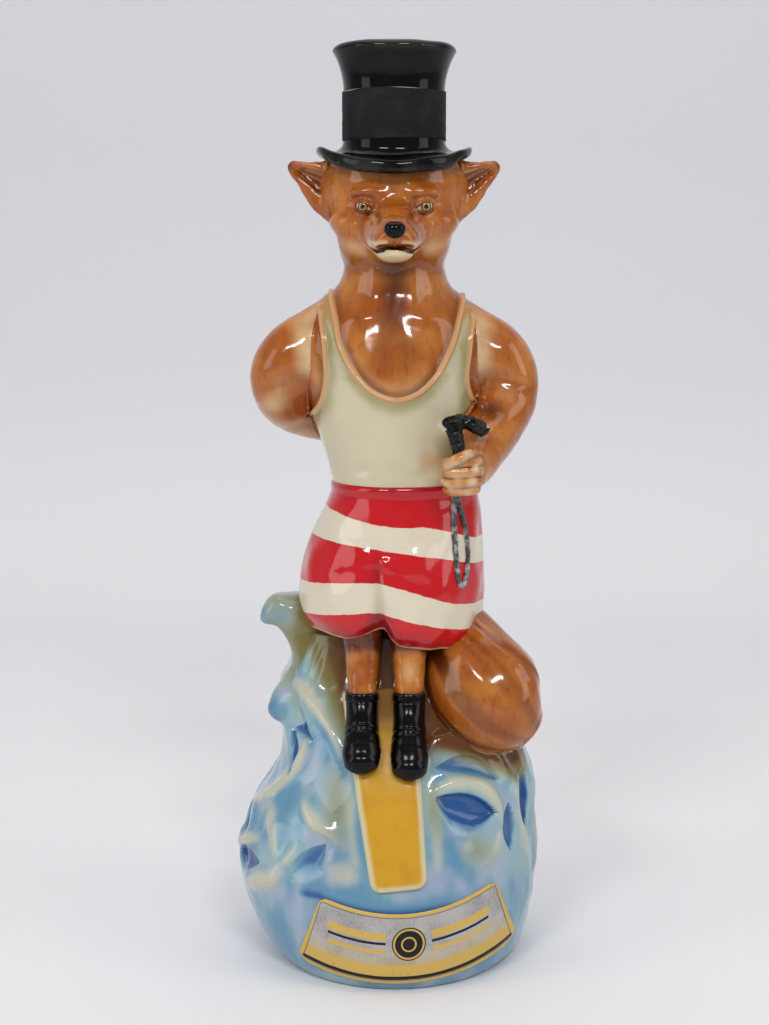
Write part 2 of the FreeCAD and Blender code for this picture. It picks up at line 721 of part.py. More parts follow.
def make_crop_handle():
    """The stem and hooked head of the crop above the fist."""
    foot = fist_centre()
    thick = crop_head_share * CROP_RADIUS
    top = foot + Vector(-CROP_RADIUS, CROP_RADIUS, CROP_RISE)
    stem = limb([(foot, CROP_RADIUS, CROP_RADIUS), (top, CROP_RADIUS, thick)])
    start = top - Vector(CROP_RADIUS, 0, 0)
    middle = start + Vector(CROP_HOOK / 2, 0, CROP_RADIUS / 2)
    end = start + Vector(CROP_HOOK + CROP_RADIUS, 0, 0)
    hook = limb([(place, CROP_RADIUS, CROP_RADIUS) for place in (start, middle, end)])
    return stem.fuse(hook)


def rounded_path(points, radius):
    """A wire of straight runs joined by tangent arcs."""
    edges = []
    start = points[0]
    for before, corner, after in zip(points, points[1:], points[2:]):
        back = (before - corner).normalize()
        onward = (after - corner).normalize()
        half_turn = (math.pi - back.getAngle(onward)) / 2
        reach = radius * math.tan(half_turn)
        enter, leave = corner + back * reach, corner + onward * reach
        inward = (back + onward).normalize()
        nearest = corner + inward * (radius / math.cos(half_turn) - radius)
        edges.append(Part.LineSegment(start, enter).toShape())
        edges.append(Part.Arc(enter, nearest, leave).toShape())
        start = leave
    edges.append(Part.LineSegment(start, points[-1]).toShape())
    return Part.Wire(edges)


def make_lash():
    """The lash: a long loop that leaves the fist and lies on the trunks."""
    rows = trunks_rows()
    fist = fist_centre()
    knee_z = WAIST_Z - lash_knee_share * LASH_LENGTH
    foot_z = WAIST_Z - LASH_LENGTH
    places = []
    for x in (LASH_SIDE - LASH_WIDTH / 2, LASH_SIDE + LASH_WIDTH / 2):
        knee = Vector(x, -front_of(rows, x, knee_z), knee_z)
        foot = Vector(x, -front_of(rows, x, foot_z), foot_z)
        places.append([Vector(x, fist.y, fist.z), knee, foot])
    points = places[0] + places[1][::-1]
    path = rounded_path(points, lash_bend_share * LASH_WIDTH)
    start = Part.Wire([Part.Circle(points[0], points[1] - points[0], LASH_RADIUS).toShape()])
    return path.makePipeShell([start], True, False)


def make_head():
    """The head with its muzzle."""
    skull = stack(head_rows())
    root = Vector(0, -HEAD_FRONT, NECK_Z + MUZZLE_HEIGHT)
    stations = []
    for along, drop, wide, tall in muzzle_shares:
        centre = root + Vector(0, -along * MUZZLE_LENGTH, -drop * MUZZLE_RADIUS)
        stations.append((centre, tall * MUZZLE_RADIUS, wide * MUZZLE_RADIUS))
    muzzle = limb(stations, Vector(0, 0, 1))
    chin = Part.makeCylinder(HEAD_FRONT + 2 * MUZZLE_LENGTH, HEAD_HEIGHT, Vector(0, 0, NECK_Z - HEAD_HEIGHT))
    return skull.fuse(muzzle.cut(chin))


def make_ear(side):
    """An ear that stands out under the brim, cupped on its front."""
    root = Vector(side * HEAD_HALF_WIDTH, 0, NECK_Z + ear_height_share * HEAD_HEIGHT)
    stations = []
    cup = []
    for out, rise, wide, thick in ear_shares:
        centre = root + Vector(side * out * EAR_REACH, 0, rise * EAR_REACH)
        stations.append((centre, thick * EAR_THICKNESS / 2, wide * EAR_WIDTH / 2))
        front = centre + Vector(0, -thick * EAR_THICKNESS / 2, 0)
        cup.append((front, thick * EAR_CUP, wide * (EAR_WIDTH / 2 - EAR_CUP / 2)))
    return limb(stations).cut(limb(cup[1:-1]))


def make_hat_brim():
    """A round brim bent up at both sides, with the collar, before the neck is bored."""
    depth = 2 * (BRIM_RADIUS + CUT_OVERRUN)
    rod = Vector(0, -depth / 2, HAT_Z + BRIM_BEND_RADIUS)
    along = Vector(0, 1, 0)
    outside = Part.makeCylinder(BRIM_BEND_RADIUS, depth, rod, along)
    inside = Part.makeCylinder(BRIM_BEND_RADIUS - BRIM_THICKNESS, depth, rod, along)
    blank = Part.makeCylinder(BRIM_RADIUS, BRIM_BEND_RADIUS, Vector(0, 0, HAT_Z - CUT_OVERRUN))
    plate = blank.common(outside).cut(inside)
    rim = [edge for edge in plate.Edges if edge.BoundBox.YLength > BRIM_RADIUS]
    plate = plate.makeFillet(brim_round_share * BRIM_THICKNESS, rim)
    collar = Part.makeCylinder(COLLAR_RADIUS, COLLAR_HEIGHT, Vector(0, 0, HAT_Z))
    hat = plate.fuse(collar)
    foot = []
    for edge in hat.Edges:
        points = edge.discretize(OUTLINE_POINTS)
        heights = [point.z for point in points]
        off = max(abs(math.hypot(point.x, point.y) - COLLAR_RADIUS) for point in points)
        on_brim = min(heights) > HAT_Z + BRIM_THICKNESS / 2 and max(heights) < SEAM_Z - JOIN_TOLERANCE
        if off < JOIN_TOLERANCE and on_brim:
            foot.append(edge)
    return hat.makeFillet(COLLAR_FILLET, foot)


def head_room():
    """The space inside the head, which narrows to the neck's bore, and the bore up through the collar."""
    rows = head_rows()
    room = []
    for up, share in head_room_shares:
        z = NECK_Z + up * HEAD_HEIGHT
        wall = [reach - WALL for reach in row_at(rows, z)]
        room.append((z, *[NECK_BORE_RADIUS + share * (reach - NECK_BORE_RADIUS) for reach in wall]))
    bore_z = NECK_Z + bore_start_share * HEAD_HEIGHT
    bore = Part.makeCylinder(NECK_BORE_RADIUS, SEAM_Z + CUT_OVERRUN - bore_z, Vector(0, 0, bore_z))
    return stack(room), bore


def make_crown():
    """The flared crown of the hat, with the socket that the cork is glued into."""
    skirt = COLLAR_RADIUS - BAND_CLEARANCE
    cork = NECK_BORE_RADIUS - CORK_CLEARANCE
    top_z = SEAM_Z + CROWN_HEIGHT
    socket_z = SEAM_Z + CORK_GLUED_LENGTH
    waist_z = SEAM_Z + CROWN_SKIRT
    edge_z = top_z - CROWN_EDGE
    out = CROWN_TOP_RADIUS - skirt
    up = edge_z - waist_z
    sweep_radius = (out * out + up * up) / (2 * out)
    turn = math.asin(up / sweep_radius) / 2
    middle = Vector(skirt + sweep_radius * (1 - math.cos(turn)), 0, waist_z + sweep_radius * math.sin(turn))
    corners = [
        Vector(CROWN_TOP_RADIUS, 0, edge_z),
        Vector(CROWN_TOP_RADIUS - CROWN_EDGE, 0, top_z - CROWN_DOME),
        Vector(0, 0, top_z),
        Vector(0, 0, socket_z),
        Vector(cork, 0, socket_z),
        Vector(cork, 0, SEAM_Z),
        Vector(skirt, 0, SEAM_Z),
        Vector(skirt, 0, waist_z),
    ]
    inset = crown_edge_share * CROWN_EDGE
    bulge = Vector(CROWN_TOP_RADIUS - inset, 0, edge_z + CROWN_EDGE - inset)
    flare = Part.Arc(corners[-1], middle, corners[0])
    edges = [flare.toShape(), Part.Arc(corners[0], bulge, corners[1]).toShape()]
    for start, end in zip(corners[1:], corners[2:]):
        edges.append(Part.LineSegment(start, end).toShape())
    face = Part.Face(Part.Wire(edges))
    return face.revolve(Vector(0, 0, 0), Vector(0, 0, 1), 360).Solids[0]


def make_cork():
    """The cork: straight in the crown, tapered in the neck, chamfered at its foot."""
    radius = NECK_BORE_RADIUS - CORK_CLEARANCE
    foot_z = SEAM_Z - CORK_LENGTH
    foot = radius - CORK_TAPER
    return revolved(
        [
            (0, SEAM_Z + CORK_GLUED_LENGTH),
            (radius, SEAM_Z + CORK_GLUED_LENGTH),
            (radius, SEAM_Z),
            (foot, foot_z + CORK_CHAMFER),
            (foot - CORK_CHAMFER, foot_z),
            (0, foot_z),
        ]
    )


def make_band():
    """The thin band over the joint of the hat, from the brim up to the top of the crown's skirt."""
    radius = COLLAR_RADIUS + BAND_THICKNESS
    bend = BRIM_BEND_RADIUS - BRIM_THICKNESS
    low = HAT_Z + BRIM_BEND_RADIUS - math.sqrt(bend * bend - radius * radius) + BAND_RISE
    width = SEAM_Z + CROWN_SKIRT - low
    outer = Part.makeCylinder(radius, width, Vector(0, 0, low))
    return outer.cut(Part.makeCylinder(COLLAR_RADIUS, width, Vector(0, 0, low)))


def make_label():
    """A thin foil with a hollow top edge and a full lower edge, laid on the front of the foot."""
    foot_z = LABEL_LIFT
    top_z = LABEL_LIFT + LABEL_HEIGHT
    rise = LABEL_TILT / 2
    corners = []
    for half, z in ((LABEL_FOOT_WIDTH / 2, foot_z), (LABEL_TOP_WIDTH / 2, top_z)):
        corners.append(Vector(LABEL_SHIFT - half, 0, z - rise))
        corners.append(Vector(LABEL_SHIFT + half, 0, z + rise))
    foot_left, foot_right, top_left, top_right = corners
    belly = Vector(LABEL_SHIFT, 0, foot_z - LABEL_SAG)
    dip = Vector(LABEL_SHIFT, 0, top_z - LABEL_SAG)
    edges = [
        Part.LineSegment(foot_left, top_left).toShape(),
        Part.Arc(top_left, dip, top_right).toShape(),
        Part.LineSegment(top_right, foot_right).toShape(),
        Part.Arc(foot_right, belly, foot_left).toShape(),
    ]
    prism = Part.Face(Part.Wire(edges)).extrude(Vector(0, -BASE_FRONT - CUT_OVERRUN, 0))
    inside = wave_skin(LAYER_GAP, False)
    outside = wave_skin(LAYER_GAP + LABEL_THICKNESS, False)
    return without(outside.common(prism), inside)


def make_parts():
    """Every piece as its own solid, each cut to seat against the ones it is joined to."""
    base = wave_skin()
    trunks = stack(trunks_rows(), pushed=leg_crease)
    torso = stack(torso_rows())
    head = make_head()
    brim = make_hat_brim()
    board = make_board()
    left_arm = make_arm(left_arm_shares, 1).fuse(Part.makeSphere(FIST_RADIUS, fist_centre()))
    right_arm = make_arm(right_arm_shares, -1)
    room, bore = head_room()
    trunks_room = hollow(trunks_rows(), BASE_HEIGHT + WALL, WAIST_Z, leg_crease)
    torso_room = hollow(torso_rows(), WAIST_Z, NECK_Z)

    parts = {}
    parts["wave_base"] = make_wave_base(base)
    parts["wave_crest"] = without(wave_horn(crest_shares, CREST_THICKNESS), base, trunks)
    parts["wave_curl"] = without(wave_horn(curl_shares, CURL_THICKNESS), base, parts["wave_crest"])
    parts["foil_label"] = make_label()
    parts["trunks"] = without(trunks, trunks_room, passage())
    parts["tail"] = without(make_tail(), base, trunks)
    parts["torso"] = without(torso, torso_room)
    parts["left_arm"] = without(left_arm, torso, trunks)
    parts["right_arm"] = without(right_arm, torso, trunks)
    parts["vest"] = without(make_vest(), left_arm, right_arm)
    parts["crop_handle"] = without(make_crop_handle(), left_arm, parts["vest"])
    parts["crop_lash"] = without(make_lash(), trunks, torso, left_arm)
    for name, side, drop in (("left", LEFT_LEG_SIDE, LEFT_BOOT_DROP), ("right", RIGHT_LEG_SIDE, 0.0)):
        leg = without(make_leg(side), base, trunks)
        parts[name + "_leg"] = leg
        parts[name + "_boot"] = without(make_boot(side, drop), base, board, leg)
        board = without(board, leg)
    parts["surfboard"] = without(board, base)
    parts["head"] = without(head, room, bore)
    parts["left_ear"] = without(make_ear(1), head, brim)
    parts["right_ear"] = without(make_ear(-1), head, brim)
    sleeve_length = COLLAR_HEIGHT + 2 * CUT_OVERRUN
    sleeve = Part.makeCylinder(NECK_BORE_RADIUS + WALL, sleeve_length, Vector(0, 0, HAT_Z - CUT_OVERRUN))
    parts["hat_brim"] = without(brim, head, sleeve)
    parts["neck_sleeve"] = without(brim.common(sleeve), head, bore)
    parts["seal_band"] = make_band()
    parts["hat_crown"] = make_crown()
    parts["stopper_cork"] = make_cork()
    return parts


def main():
    """Writes each piece to its own file."""
    os.makedirs("parts", exist_ok=True)
    for name, shape in make_parts().items():
        shape.exportStep(os.path.join("parts", name + ".step"))
        print(name, "valid" if shape.isValid() else "not valid", round(shape.Volume), "mm3")


main()
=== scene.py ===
"""Looks of a figural porcelain decanter: a dressed fox on a board that runs down the front of a wave.

Shapes are worked out in millimetres as grids of points and put into meshes in metres, in the frame of
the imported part: +Z up, the figure faces -Y, and the origin is the middle of the foot on the table.
"""

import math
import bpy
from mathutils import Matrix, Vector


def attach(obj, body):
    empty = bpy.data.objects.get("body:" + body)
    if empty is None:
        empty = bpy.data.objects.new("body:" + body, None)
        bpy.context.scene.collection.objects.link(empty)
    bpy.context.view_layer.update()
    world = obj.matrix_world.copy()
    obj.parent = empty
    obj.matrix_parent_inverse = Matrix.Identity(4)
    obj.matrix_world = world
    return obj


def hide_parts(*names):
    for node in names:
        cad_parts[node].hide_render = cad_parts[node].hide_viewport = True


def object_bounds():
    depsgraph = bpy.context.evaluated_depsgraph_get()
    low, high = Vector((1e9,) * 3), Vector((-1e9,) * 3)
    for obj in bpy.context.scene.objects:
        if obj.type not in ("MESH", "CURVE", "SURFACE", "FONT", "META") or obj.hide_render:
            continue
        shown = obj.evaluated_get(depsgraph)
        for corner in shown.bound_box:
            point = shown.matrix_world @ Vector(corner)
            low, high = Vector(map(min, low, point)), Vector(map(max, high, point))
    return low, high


bl_info = {
    "name": "Figural decanter",
    "version": (1, 0, 0),
    "blender": (4, 5, 0),
    "location": "View3D > Sidebar > Decanter",
    "description": "Glazed porcelain decanter of a dressed fox on a wave, with a hat that is the stopper",
    "category": "Add Mesh",
}

import bpy
import numpy as np
import openvdb

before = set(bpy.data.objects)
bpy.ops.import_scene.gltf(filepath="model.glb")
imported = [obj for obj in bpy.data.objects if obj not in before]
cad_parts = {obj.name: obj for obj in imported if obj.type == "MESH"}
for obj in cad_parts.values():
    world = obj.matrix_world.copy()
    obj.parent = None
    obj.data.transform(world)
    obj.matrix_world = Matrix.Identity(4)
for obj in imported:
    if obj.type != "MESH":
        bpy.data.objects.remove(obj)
CAD_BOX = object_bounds()
MM = 0.001
TURN = 2 * math.pi
DECANTER = "decanter"
STOPPER = "stopper"

# Heights of the joints between the castings, in millimetres
BASE_HEIGHT = 118.0
WAIST_Z = 173.0
NECK_Z = 250.0
HAT_Z = 284.0
SEAM_Z = 300.0
TOP_Z = 328.5

# The hat: radii of the bore, the collar and the brim, the rounding of the collar's edges, and the radius
# that the brim's under side is bent to
BORE_RADIUS = 10.0
COLLAR_RADIUS = 18.0
BRIM_RADIUS = 26.0
COLLAR_ROUND = 0.8
BRIM_BEND = 80.0
BRIM_THICKNESS = 3.2

# The crown: radii of its skirt and its lip, where its flare starts and how far that rises, the width and
# height of the lip's rounding, and the dome of the lid
SKIRT_RADIUS = 17.85
LIP_RADIUS = 21.7
FLARE_Z = 311.0
FLARE_RISE = 13.5
LIP_ROUND = 4.0
LIP_HEIGHT = 2.4
LID_DOME = 1.4

# The wave: its radius for lengths round it, where angles round it start, the rounding behind its top,
# and its foot ring as steps in from the wall and heights
WAVE_RADIUS = 52.0
FIRST_ANGLE = -100
WAVE_SHOULDER = 8.0
FOOT_RING = ((7.6, 2.0), (7.0, 0.5), (6.4, 0.0), (0.8, 0.0))
FOOT_ROUND = 0.6

# The board: its top and tip as shares of the wave's height, and its sizes along and across
BOARD_TOP_SHARE = 0.85
BOARD_TIP_SHARE = 0.305
BOARD_TOP_X = -5.4
BOARD_DRIFT = 7.2
BOARD_TOP_WIDTH = 26.5
BOARD_TAPER = 6.5
BOARD_LENGTH = 64.3
BOARD_CORNER = 4.0
BOARD_BED_X = -0.6
BOARD_BED_HALF = 11.25

# The label: its middle, its lower and upper edge, and the bow, tilt and corners of both edges
LABEL_X = 5.0
LABEL_LOW_Z = 9.6
LABEL_HIGH_Z = 34.6
LABEL_LOW_WIDTH = 76.5
LABEL_HIGH_WIDTH = 63.0
LABEL_BOW = 6.0
LABEL_TILT = 3.0
LABEL_CORNER = 4.0

# Rows of the castings: height, then reach to the left, right, front and back
BASE_ROWS = np.array([
    (0.00, 0.75, 0.85, 0.92, 0.86),
    (0.03, 0.81, 0.91, 0.97, 0.92),
    (0.10, 0.89, 0.96, 1.00, 0.97),
    (0.21, 0.97, 0.99, 0.98, 1.00),
    (0.32, 1.00, 1.00, 0.93, 0.99),
    (0.44, 0.92, 1.00, 0.86, 0.97),
    (0.55, 0.78, 0.99, 0.78, 0.94),
    (0.65, 0.70, 0.92, 0.67, 0.90),
    (0.76, 0.71, 0.80, 0.52, 0.86),
    (0.87, 0.64, 0.66, 0.36, 0.79),
    (1.00, 0.55, 0.54, 0.25, 0.70),
]) * (BASE_HEIGHT, 57.5, 52.0, 52.0, 51.5)
TRUNKS_ROWS = np.array([
    (0.00, 0.93, 0.88, 0.88, 0.84),
    (0.07, 0.98, 0.95, 0.96, 0.92),
    (0.22, 1.00, 0.98, 1.00, 1.00),
    (0.45, 0.94, 1.00, 0.98, 1.00),
    (0.70, 0.80, 0.97, 0.90, 0.90),
    (0.88, 0.68, 0.93, 0.82, 0.80),
    (1.00, 0.62, 0.92, 0.79, 0.76),
]) * (WAIST_Z - BASE_HEIGHT, 34.5, 33.0, 33.0, 31.0) + (BASE_HEIGHT, 0, 0, 0, 0)
TORSO_ROWS = np.array([
    tuple(TRUNKS_ROWS[-1]),
    (184.55, 24.80, 28.83, 26.00, 23.28),
    (199.95, 28.83, 29.14, 26.52, 24.00),
    (215.35, 31.00, 31.00, 26.00, 24.00),
    (226.90, 30.38, 30.38, 23.66, 23.28),
    (234.60, 26.35, 26.35, 21.06, 21.60),
    (241.53, 20.53, 20.53, 18.41, 18.48),
    (250.00, 17.70, 17.70, 17.70, 16.80),
])

# Limbs: x, y, z of the middle line and the half thickness, or the half depth and the half width
LEFT_ARM = np.array([
    (17.78, 0.0, 234.6, 4.94),
    (26.86, 0.0, 227.7, 8.97),
    (35.16, 0.0, 219.2, 11.96),
    (39.50, 0.0, 210.7, 12.22),
    (39.90, -2.1, 203.0, 11.18),
    (36.74, -8.1, 195.3, 9.88),
    (31.60, -17.9, 188.0, 8.84),
    (26.86, -28.1, 181.9, 7.60),
    (24.89, -32.8, 179.9, 6.60),
])
RIGHT_ARM = np.array([
    (-17.78, 0.0, 234.6, 4.94),
    (-26.86, 0.0, 227.7, 8.97),
    (-35.16, 0.0, 219.2, 11.96),
    (-39.50, 0.8, 211.5, 12.22),
    (-39.50, 4.2, 205.3, 11.31),
    (-36.34, 10.9, 200.0, 10.14),
    (-27.65, 19.5, 195.3, 9.10),
    (-17.78, 24.7, 192.3, 8.32),
    (-8.69, 26.0, 190.7, 7.54),
    (-2.37, 26.5, 189.6, 3.90),
])
TAIL = np.array([
    (13.0, 11.0, 123.0, 9.0, 11.0),
    (19.5, 1.0, 117.0, 13.0, 15.5),
    (25.0, -8.0, 110.5, 15.5, 18.0),
    (30.0, -14.0, 103.5, 17.0, 20.0),
    (35.5, -18.0, 96.5, 17.0, 20.0),
    (41.5, -19.0, 90.5, 15.0, 16.5),
    (46.5, -18.5, 86.6, 10.5, 11.0),
    (49.4, -18.0, 84.6, 6.0, 6.2),
    (50.6, -18.0, 83.8, 1.6, 1.6),
])
CREST = np.array([
    (-21.9, 12.4, 77.9, 13.95),
    (-28.8, 10.3, 94.4, 12.15),
    (-32.8, 8.2, 109.7, 10.62),
    (-36.2, 6.2, 120.4, 8.82),
    (-41.4, 4.1, 124.5, 6.84),
    (-44.6, 3.1, 122.6, 4.60),
    (-46.4, 2.6, 119.6, 2.00),
])
CURL = np.array([
    (-26.5, 1.0, 85.0, 9.45),
    (-33.4, -1.0, 89.7, 7.70),
    (-38.5, -2.1, 92.0, 5.95),
    (-42.6, -3.1, 89.7, 3.15),
])
# The ball that is taken out of the crest's hollow
CUP = (-48.2, 2.0, 109.0)
CUP_RADII = (10.5, 80.0, 10.8)

# Arms: how far the fillet against the torso reaches, and the middles of the fist and of the hand behind
ARM_FILLET = 9.0
FIST = (22.8, -34.9, 179.9)
PALM = (-7.0, 27.0, 190.6)

# Legs: x of each, then y, height and half thickness down both
LEG_SIDES = {"left": 5.3, "right": -11.3}
LEG_LINE = (
    (-19.5, 126.0, 7.2),
    (-20.5, 121.1, 6.9),
    (-21.4, 114.0, 6.2),
    (-22.8, 108.0, 5.7),
    (-24.4, 103.5, 5.2),
    (-25.8, 99.0, 5.0),
)

# Boots: how much longer each is, the sizes of both, the lip inside the cuff as shares of its width and
# heights, and shares of fall, reach, half width and half depth
BOOT_DROPS = {"left": 2.5, "right": 0.0}
BOOT_TOP_Z = 101.0
BOOT_HEIGHT = 24.5
BOOT_Y = -25.5
BOOT_REACH = 17.0
BOOT_HALF = 5.8
BOOT_LIP = ((0.62, -1.4), (0.86, 0.1))
BOOT_SHARES = np.array([
    (0.00, 0.00, 0.96, 1.00),
    (0.10, 0.02, 0.98, 1.00),
    (0.30, 0.12, 0.97, 1.05),
    (0.50, 0.30, 1.03, 1.15),
    (0.68, 0.54, 1.13, 1.10),
    (0.84, 0.78, 1.08, 0.92),
    (0.95, 0.94, 0.78, 0.66),
    (1.00, 1.00, 0.30, 0.28),
])

# Glazes: patches and grain of the noise and height of the relief in metres, and roughness of the coat
GLAZE_PATCH = 0.012
GLAZE_GRAIN = 0.0011
GLAZE_RELIEF = 0.0006
COAT_ROUGHNESS = 0.04


def srgb(red, green, blue):
    """A colour written in 0 to 255 as the light that it stands for."""
    shares = np.array((red, green, blue)) / 255.0
    light = np.where(shares > 0.04045, ((shares + 0.055) / 1.055) ** 2.4, shares / 12.92)
    return tuple(float(value) for value in light)


def colour(name, description, red, green, blue):
    """A colour that the user can change."""
    light = srgb(red, green, blue)
    return bpy.props.FloatVectorProperty(
        name=name, description=description, subtype="COLOR", size=3, min=0.0, max=1.0, default=light
    )


def length(name, description, millimetres):
    """A length that the user can change."""
    metres = millimetres * MM
    return bpy.props.FloatProperty(
        name=name, description=description, unit="LENGTH", subtype="DISTANCE", min=0.0, default=metres
    )


class DecanterColours(bpy.types.PropertyGroup):
    """Colours of the glazes and of the trim."""

    fur: colour("Fur", "Orange brown of the fur", 156, 78, 20)
    fur_light: colour("Light fur", "Where the airbrushed brown thins out", 194, 122, 52)
    fur_dark: colour("Dark fur", "Folds and strokes of the fur", 84, 34, 8)
    bib: colour("Bib", "Cream of the chin, cheeks and hand", 222, 200, 156)
    vest: colour("Vest", "Grey cream of the vest", 202, 193, 162)
    vest_shade: colour("Vest shade", "Olive airbrushed beside the hems", 142, 128, 72)
    hem: colour("Hem", "Tan of the raised hems", 204, 150, 98)
    red: colour("Red", "Red bands of the trunks", 196, 18, 25)
    # The dark red is painted shade: in the folds, at the hem and under the waist of the trunks
    red_shade: colour("Dark red", "Thick glaze in the folds of the trunks", 142, 12, 32)
    cream: colour("Cream", "Pale bands of the trunks", 219, 208, 184)
    cream_shade: colour("Cream shade", "Pale bands in the folds of the trunks", 196, 184, 150)
    black: colour("Black", "Hat and boots", 4, 4, 5)
    black_thin: colour("Thin black", "Where the black glaze is thin", 15, 14, 16)
    # Black edge: grey on the rims, partly rubbed wear and partly a painted highlight
    black_edge: colour("Black edge", "Edges of the black glaze", 56, 54, 50)
    worn: colour("Worn glaze", "Bare porcelain at chips and edges", 190, 184, 160)
    deep_blue: colour("Deep blue", "Deepest hollows of the wave", 40, 84, 142)
    blue: colour("Blue", "Water", 98, 144, 172)
    pale_blue: colour("Pale blue", "Thin water", 142, 175, 182)
    lavender: colour("Lavender", "Cloudy ridges of the water", 166, 174, 194)
    foam: colour("Foam", "Cream of the ridges", 196, 193, 170)
    sage: colour("Sage", "Where the olive thins out into the water", 150, 160, 138)
    # Olive and umber near the tail also stand for painted shade on the water under it
    olive: colour("Olive", "Green brown airbrushed at the top of the wave", 122, 112, 64)
    umber: colour("Umber", "Brown airbrushed round the legs and under the tail", 98, 52, 14)
    board: colour("Board", "Yellow of the board", 206, 154, 36)
    board_shade: colour("Board shade", "Deeper yellow of the board", 196, 138, 34)
    board_edge: colour("Board edge", "Cream edge of the board", 214, 202, 160)
    silver: colour("Silver foil", "Field of the label", 186, 182, 178)
    silver_shade: colour("Dull foil", "Duller patches of the label", 150, 147, 146)
    tarnish: colour("Tarnish", "Worn specks of the label", 120, 112, 100)
    gold: colour("Gold foil", "Border and bands of the label", 214, 178, 92)
    ink: colour("Ink", "Dark bands of the label", 28, 26, 24)
    lash: colour("Lash", "Grey of the lash", 72, 74, 76)
    lash_light: colour("Light lash", "Pale patches of the lash", 168, 170, 170)
    lash_dark: colour("Dark lash", "Dark specks of the lash", 20, 20, 22)
    tape: colour("Tape", "Matte band round the hat", 15, 15, 16)
    tape_light: colour("Light tape", "Faded patches of the tape", 32, 31, 31)
    cork: colour("Cork", "Cork of the stopper", 190, 142, 92)
    cork_shade: colour("Cork shade", "Darker bark of the cork", 150, 104, 62)
    cork_pore: colour("Cork pore", "Pores of the cork", 78, 48, 26)
    amber: colour("Amber", "Eyes", 140, 84, 22)
    amber_light: colour("Light amber", "Eyes beside the pupils", 188, 132, 52)
    pupil: colour("Pupil", "Pupils of the eyes", 10, 7, 5)
    eye_rim: colour("Eye rim", "Dark rim round the amber", 40, 20, 8)
    eye_white: colour("Eye white", "Cream beside the amber", 206, 190, 150)
    floor: colour("Floor", "Paper that the decanter stands on", 236, 235, 236)
    # The wall is the same sheet as the floor, a little darker as painted shade
    wall: colour("Wall", "Paper behind the decanter", 224, 223, 226)


class DecanterSizes(bpy.types.PropertyGroup):
    """Sizes of the surface detail."""

    hem_height: length("Hem height", "How far the vest's hems stand up", 0.75)
    hem_width: length("Hem width", "Half width of the vest's hems", 0.75)
    cloth: length("Cloth", "How far the vest stands proud of the fur", 0.4)
    fur_groove: length("Fur groove", "Depth of the strokes in the tail's fur", 0.35)
    cuff: length("Cuff", "How far the boots' cuffs stand out", 0.3)
    foil: length("Foil", "Thickness of the label", 0.35)
    band: length("Band", "Thickness of the tape round the hat", 0.28)


def through(knots, values, at):
    """A smooth curve: cubic pieces between knots, whose slopes come from the neighbouring knots."""
    knots = np.asarray(knots, float)
    values = np.asarray(values, float)
    at = np.asarray(at, float)
    slopes = np.gradient(values, knots, axis=0)
    low = np.clip(np.searchsorted(knots, at, side="right") - 1, 0, len(knots) - 2)
    span = knots[low + 1] - knots[low]
    t = np.clip((at - knots[low]) / span, 0, 1)
    if values.ndim > 1:
        span = span[..., None]
        t = t[..., None]
    start = values[low] * (1 + 2 * t) * (1 - t) ** 2 + slopes[low] * span * t * (1 - t) ** 2
    end = values[low + 1] * t * t * (3 - 2 * t) - slopes[low + 1] * span * t * t * (1 - t)
    return start + end


def path_through(points, count):
    """A smooth path through points, with places spaced evenly by its running length."""
    points = np.asarray(points, float)
    steps = np.linalg.norm(np.diff(points[:, :3], axis=0), axis=1)
    run = np.concatenate([[0.0], np.cumsum(steps)])
    return through(run, points, np.linspace(0.0, run[-1], count))


def ease(low, high, value):
    """0 below low, 1 above high, and a smooth step between."""
    t = np.clip((value - low) / (high - low), 0, 1)
    return t * t * (3 - 2 * t)


def bell(value, width):
    """1 at zero, falling off on both sides as a bell of that width."""
    return np.exp(-((value / width) ** 2))


def murmur(points, size, seed):
    """A smooth random field between about -1 and 1: sixteen plane waves of about that length, summed."""
    draw = np.random.default_rng(seed)
    ways = draw.normal(size=(points.shape[-1], 16))
    ways *= draw.uniform(0.6, 1.4, 16) * TURN / (size * np.linalg.norm(ways, axis=0))
    return np.cos(points @ ways + draw.uniform(0, TURN, 16)).sum(-1) / 4


def unit(vectors):
    """Vectors scaled to a length of one."""
    return vectors / np.maximum(np.linalg.norm(vectors, axis=-1, keepdims=True), 1e-9)


def ring_angles(columns):
    """Angles of the points of a ring."""
    return TURN * np.arange(columns) / columns


def ovals(rows, heights, columns):
    """Rings of ovals: x is cos a times the reach on that side, y is sin a times the reach on that side."""
    reach = through(rows[:, 0], rows[:, 1:], heights)
    turn = ring_angles(columns)
    across = np.cos(turn)
    along = np.sin(turn)
    x = across * np.where(across > 0, reach[:, 1:2], reach[:, 0:1])
    y = along * np.where(along > 0, reach[:, 3:4], reach[:, 2:3])
    return np.stack([x, y, heights[:, None] + 0 * x], -1)


def carried(way, side):
    """A side direction taken along a path without twist."""
    side = np.array(side, float)
    sides = []
    for step in way:
        side = unit(side - step * side.dot(step))
        sides.append(side)
    return np.array(sides)


def sweep(stations, rows, columns):
    """Rings round a smooth path, from the side nearest to Y: centre + side times cos a times the first
    half thickness + second side times sin a times the second (the first again where there is one)."""
    line = path_through(stations, rows)
    way = unit(np.gradient(line[:, :3], axis=0))
    first = carried(way, (0, 1, 0))
    second = np.cross(way, first)
    turn = ring_angles(columns)
    wide = line[:, 3, None, None] * np.cos(turn)[:, None]
    deep = line[:, -1, None, None] * np.sin(turn)[:, None]
    return line[:, None, :3] + first[:, None] * wide + second[:, None] * deep


def spun(outline, columns):
    """A round shape about the Z axis: each row of the outline is a radius and a height."""
    turn = ring_angles(columns)
    radius = np.asarray(outline)[:, :1]
    height = np.asarray(outline)[:, 1:2]
    return np.stack([radius * np.cos(turn), radius * np.sin(turn), height + 0 * turn], -1)


